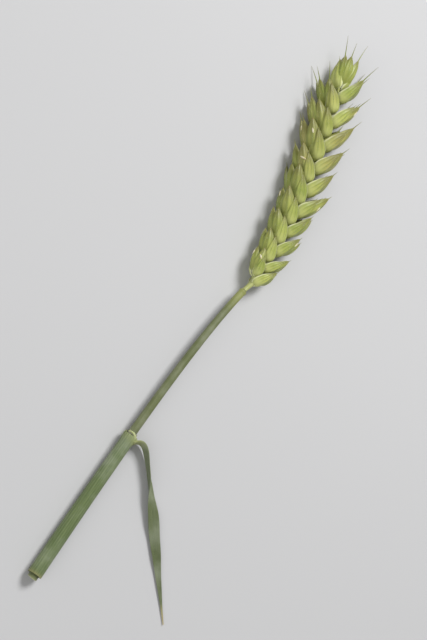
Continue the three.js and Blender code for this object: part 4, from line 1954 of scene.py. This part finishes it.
@dataclass
class LeafMouth:
    """What stands at the sheath's mouth: the ligule, a thin collar, and two auricles that clasp the stem."""

    sheath: LeafSheath
    ligule_height: float = 1.2
    ligule_wall: float = 0.07
    ligule_half_turn: float = 150.0
    ligule_foot: float = 0.7
    ligule_flare: float = 1.6
    ligule_rows: int = 9
    ligule_columns: int = 80
    lobe_height: float = 0.16
    lobe_waves: float = 7.0
    fringe_height: float = 0.07
    fringe_waves: float = 19.0
    fringe_shift: float = 1.0
    auricle_turn: Range = (62.0, 154.0)
    auricle_reach: Range = (0.55, 0.27)
    auricle_sunk: float = 0.5
    auricle_rise: float = 0.9
    auricle_arch: float = 0.8
    auricle_radius: float = 0.42
    auricle_tip_radius: float = 0.04
    auricle_taper: float = 0.7
    auricle_flatness: float = 0.6
    auricle_rows: int = 17
    auricle_sides: int = 10

    def ligule_surface(self) -> Surface:
        """The ligule: a thin collar close round the stem, with an edge ragged by two sines.

        Returns:
            The closed collar.
        """
        sheath, straw = self.sheath, self.sheath.straw
        rise = np.linspace(0.0, 1.0, self.ligule_rows)[:, None]
        angle = np.radians(np.linspace(-self.ligule_half_turn, self.ligule_half_turn, self.ligule_columns))
        lobes = self.lobe_height * np.sin(angle * self.lobe_waves)
        fringe = self.fringe_height * np.sin(angle * self.fringe_waves + self.fringe_shift)
        height = sheath.mouth - self.ligule_height / 2.0 + rise * (self.ligule_height + lobes + fringe)
        spread = self.ligule_foot + self.ligule_flare * rise**2
        inner = straw.radius(height) + sheath.clearance * spread
        at = straw.spine.frames(height)
        upper, lower = at.around(inner + self.ligule_wall, angle), at.around(inner, angle)
        return thick_sheets(upper[None], lower[None], {})

    def auricle_surface(self) -> Surface:
        """The auricles: two small flat horns from the blade's root, above and below the stem.

        They run round the stem at a falling reach, rise by a sine, and thin to their tips by a power.

        Returns:
            Both horns.
        """
        sheath, straw = self.sheath, self.sheath.straw
        share = np.linspace(0.0, 1.0, self.auricle_rows)
        section = ring_angles(self.auricle_sides)
        side = np.array([1.0, -1.0])[:, None]
        turn = np.radians(mix(*self.auricle_turn, share)) * side
        arch = self.auricle_rise * np.sin(self.auricle_arch * math.pi * share)
        height = sheath.mouth - self.auricle_sunk + arch
        at = straw.spine.frames(np.broadcast_to(height, turn.shape))
        reach = straw.radius(height) + sheath.solid_gap + mix(*self.auricle_reach, share)
        line = at.around(reach, -turn)
        way = unit(line - at.origin)
        radius = self.auricle_radius * (1.0 - share) ** self.auricle_taper + self.auricle_tip_radius
        angle = (section * side)[:, None, :, None]
        thick = way[:, :-1, None] * np.cos(angle) * self.auricle_flatness
        broad = at.along[:, :-1, None] * np.sin(angle)
        rings = line[:, :-1, None] + (thick + broad) * radius[:-1, None, None]
        return closed_tubes(rings, line[:, 0], line[:, -1], {})

    def build(self, finishes: Finishes) -> list[bpy.types.Object]:
        """Make and dress the ligule and the auricles.

        Args:
            finishes: the stalk's finishes.

        Returns:
            The new pieces.
        """
        pieces = {
            "ligule": (self.ligule_surface(), finishes.ligule),
            "auricles": (self.auricle_surface(), finishes.auricle),
        }
        return [make_piece(name, s.lifted(), m, Node.LEAF, Slot.LEAF) for name, (s, m) in pieces.items()]


@dataclass(frozen=True)
class SoftLight:
    """A square light: its place in metres to the picture's right, to its up and above, its side and watts."""

    name: str
    place: tuple[float, float, float]
    side: float
    power: float


@dataclass
class Studio:
    """The pale surface, the soft light and the camera, which looks down on the slanting stalk."""

    picture_heading: float = -33.0
    stand_heading: float = -128.0
    elevation: float = 62.0
    margin: float = 0.045
    aspect: float = 1.5
    lens: float = 85.0
    sensor: float = 36.0
    nearest: float = 0.01
    floor_half: float = 3000.0
    sky: float = 0.3
    lights: tuple[SoftLight, ...] = (
        SoftLight("key", (0.35, 0.45, 0.75), 0.35, 8.0),
        SoftLight("fill", (-0.7, -0.2, 0.6), 0.8, 2.4),
    )

    def floor(self) -> None:
        """A wide flat surface at the height that the stalk lies on."""
        corners = np.array([[-1, -1, 0], [1, -1, 0], [1, 1, 0], [-1, 1, 0]], float) * self.floor_half * MM
        mesh = bpy.data.meshes.new("surface")
        mesh.from_pydata(corners.tolist(), [], [(0, 1, 2, 3)])
        mesh.materials.append(FloorFinish().material())
        plane = bpy.data.objects.new("surface", mesh)
        bpy.context.scene.collection.objects.link(plane)
        plane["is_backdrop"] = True

    def camera(self, pieces: list[bpy.types.Object]) -> None:
        """The camera on its stand, with the picture's heading up and all pieces in view.

        Args:
            pieces: what has to be in view.
        """
        tilt = math.radians(self.elevation)
        away = heading(self.stand_heading) * math.cos(tilt) + UP * math.sin(tilt)
        up = heading(self.picture_heading)
        up = unit(up - away * np.dot(up, away))
        right = np.cross(up, away)
        flat = np.concatenate([piece_points(piece) for piece in pieces]) @ np.stack([right, up], axis=1)
        low, high = flat.min(axis=0), flat.max(axis=0)
        middle = (low + high) / 2.0
        width, height = high - low
        frame_height = max(height, width * self.aspect) * (1.0 + 2.0 * self.margin)
        data = bpy.data.cameras.new("camera")
        data.lens = self.lens
        data.sensor_fit = "VERTICAL"
        data.sensor_height = self.sensor
        data.clip_start = self.nearest
        camera = bpy.data.objects.new("camera", data)
        place = right * middle[0] + up * middle[1] + away * (frame_height * self.lens / self.sensor)
        turn = Matrix((right, up, away)).transposed().to_4x4()
        camera.matrix_world = Matrix.Translation(Vector(place)) @ turn
        bpy.context.scene.collection.objects.link(camera)
        bpy.context.scene.camera = camera

    def lamp(self, light: SoftLight) -> None:
        """Hang a light, turned to the middle of the surface.

        Args:
            light: the light to hang.
        """
        up = heading(self.picture_heading)
        right = np.cross(up, UP)
        at = Vector(right * light.place[0] + up * light.place[1] + UP * light.place[2])
        data = bpy.data.lights.new(light.name, "AREA")
        data.size = light.side
        data.energy = light.power
        lamp = bpy.data.objects.new(light.name, data)
        lamp.matrix_world = Matrix.Translation(at) @ at.to_track_quat("Z", "Y").to_matrix().to_4x4()
        bpy.context.scene.collection.objects.link(lamp)

    def world(self) -> None:
        """Even pale light from all round."""
        world = bpy.data.worlds.new("studio")
        world.use_nodes = True
        sky = world.node_tree.nodes["Background"]
        sky.inputs["Color"].default_value = (1.0, 1.0, 1.0, 1.0)
        sky.inputs["Strength"].default_value = self.sky
        bpy.context.scene.world = world

    def build(self, pieces: list[bpy.types.Object]) -> None:
        """Set the stage round the pieces.

        Args:
            pieces: the dressed part.
        """
        self.floor()
        self.camera(pieces)
        self.world()
        for light in self.lights:
            self.lamp(light)
        bpy.context.scene.view_settings.view_transform = "Standard"


def piece_points(piece: bpy.types.Object) -> Array:
    """Points of a piece's mesh, in metres.

    Args:
        piece: the piece.

    Returns:
        Its points, n x 3.
    """
    points = np.empty(len(piece.data.vertices) * 3)
    piece.data.vertices.foreach_get("co", points)
    return points.reshape(-1, 3)


def write_sizes() -> None:
    """Lay the solids' box and the dressed part's box side by side as plain lists, which nothing keeps."""
    boxes = {"cad": CAD_BOX, "visual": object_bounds()}
    plain = {name: [[float(part) for part in corner] for corner in box] for name, box in boxes.items()}


def main() -> None:
    """Build the stalk piece by piece, then the stage round it."""
    logging.basicConfig(level=logging.INFO, format="%(name)s %(message)s")
    finishes = Finishes()
    layout = EarLayout()
    rachis = Rachis(layout)
    straw = Straw(layout.foot, layout.foot_heading)
    sheath = LeafSheath(straw)
    ear = [Chaff(layout), rachis, EarHairs(layout, rachis), Anthers(layout)]
    stalk = [straw, sheath, LeafBlade(sheath), LeafMouth(sheath)]
    pieces = [piece for part in ear + stalk for piece in part.build(finishes)]
    Studio().build(pieces)
    write_sizes()


if __name__ == "__main__":
    main()
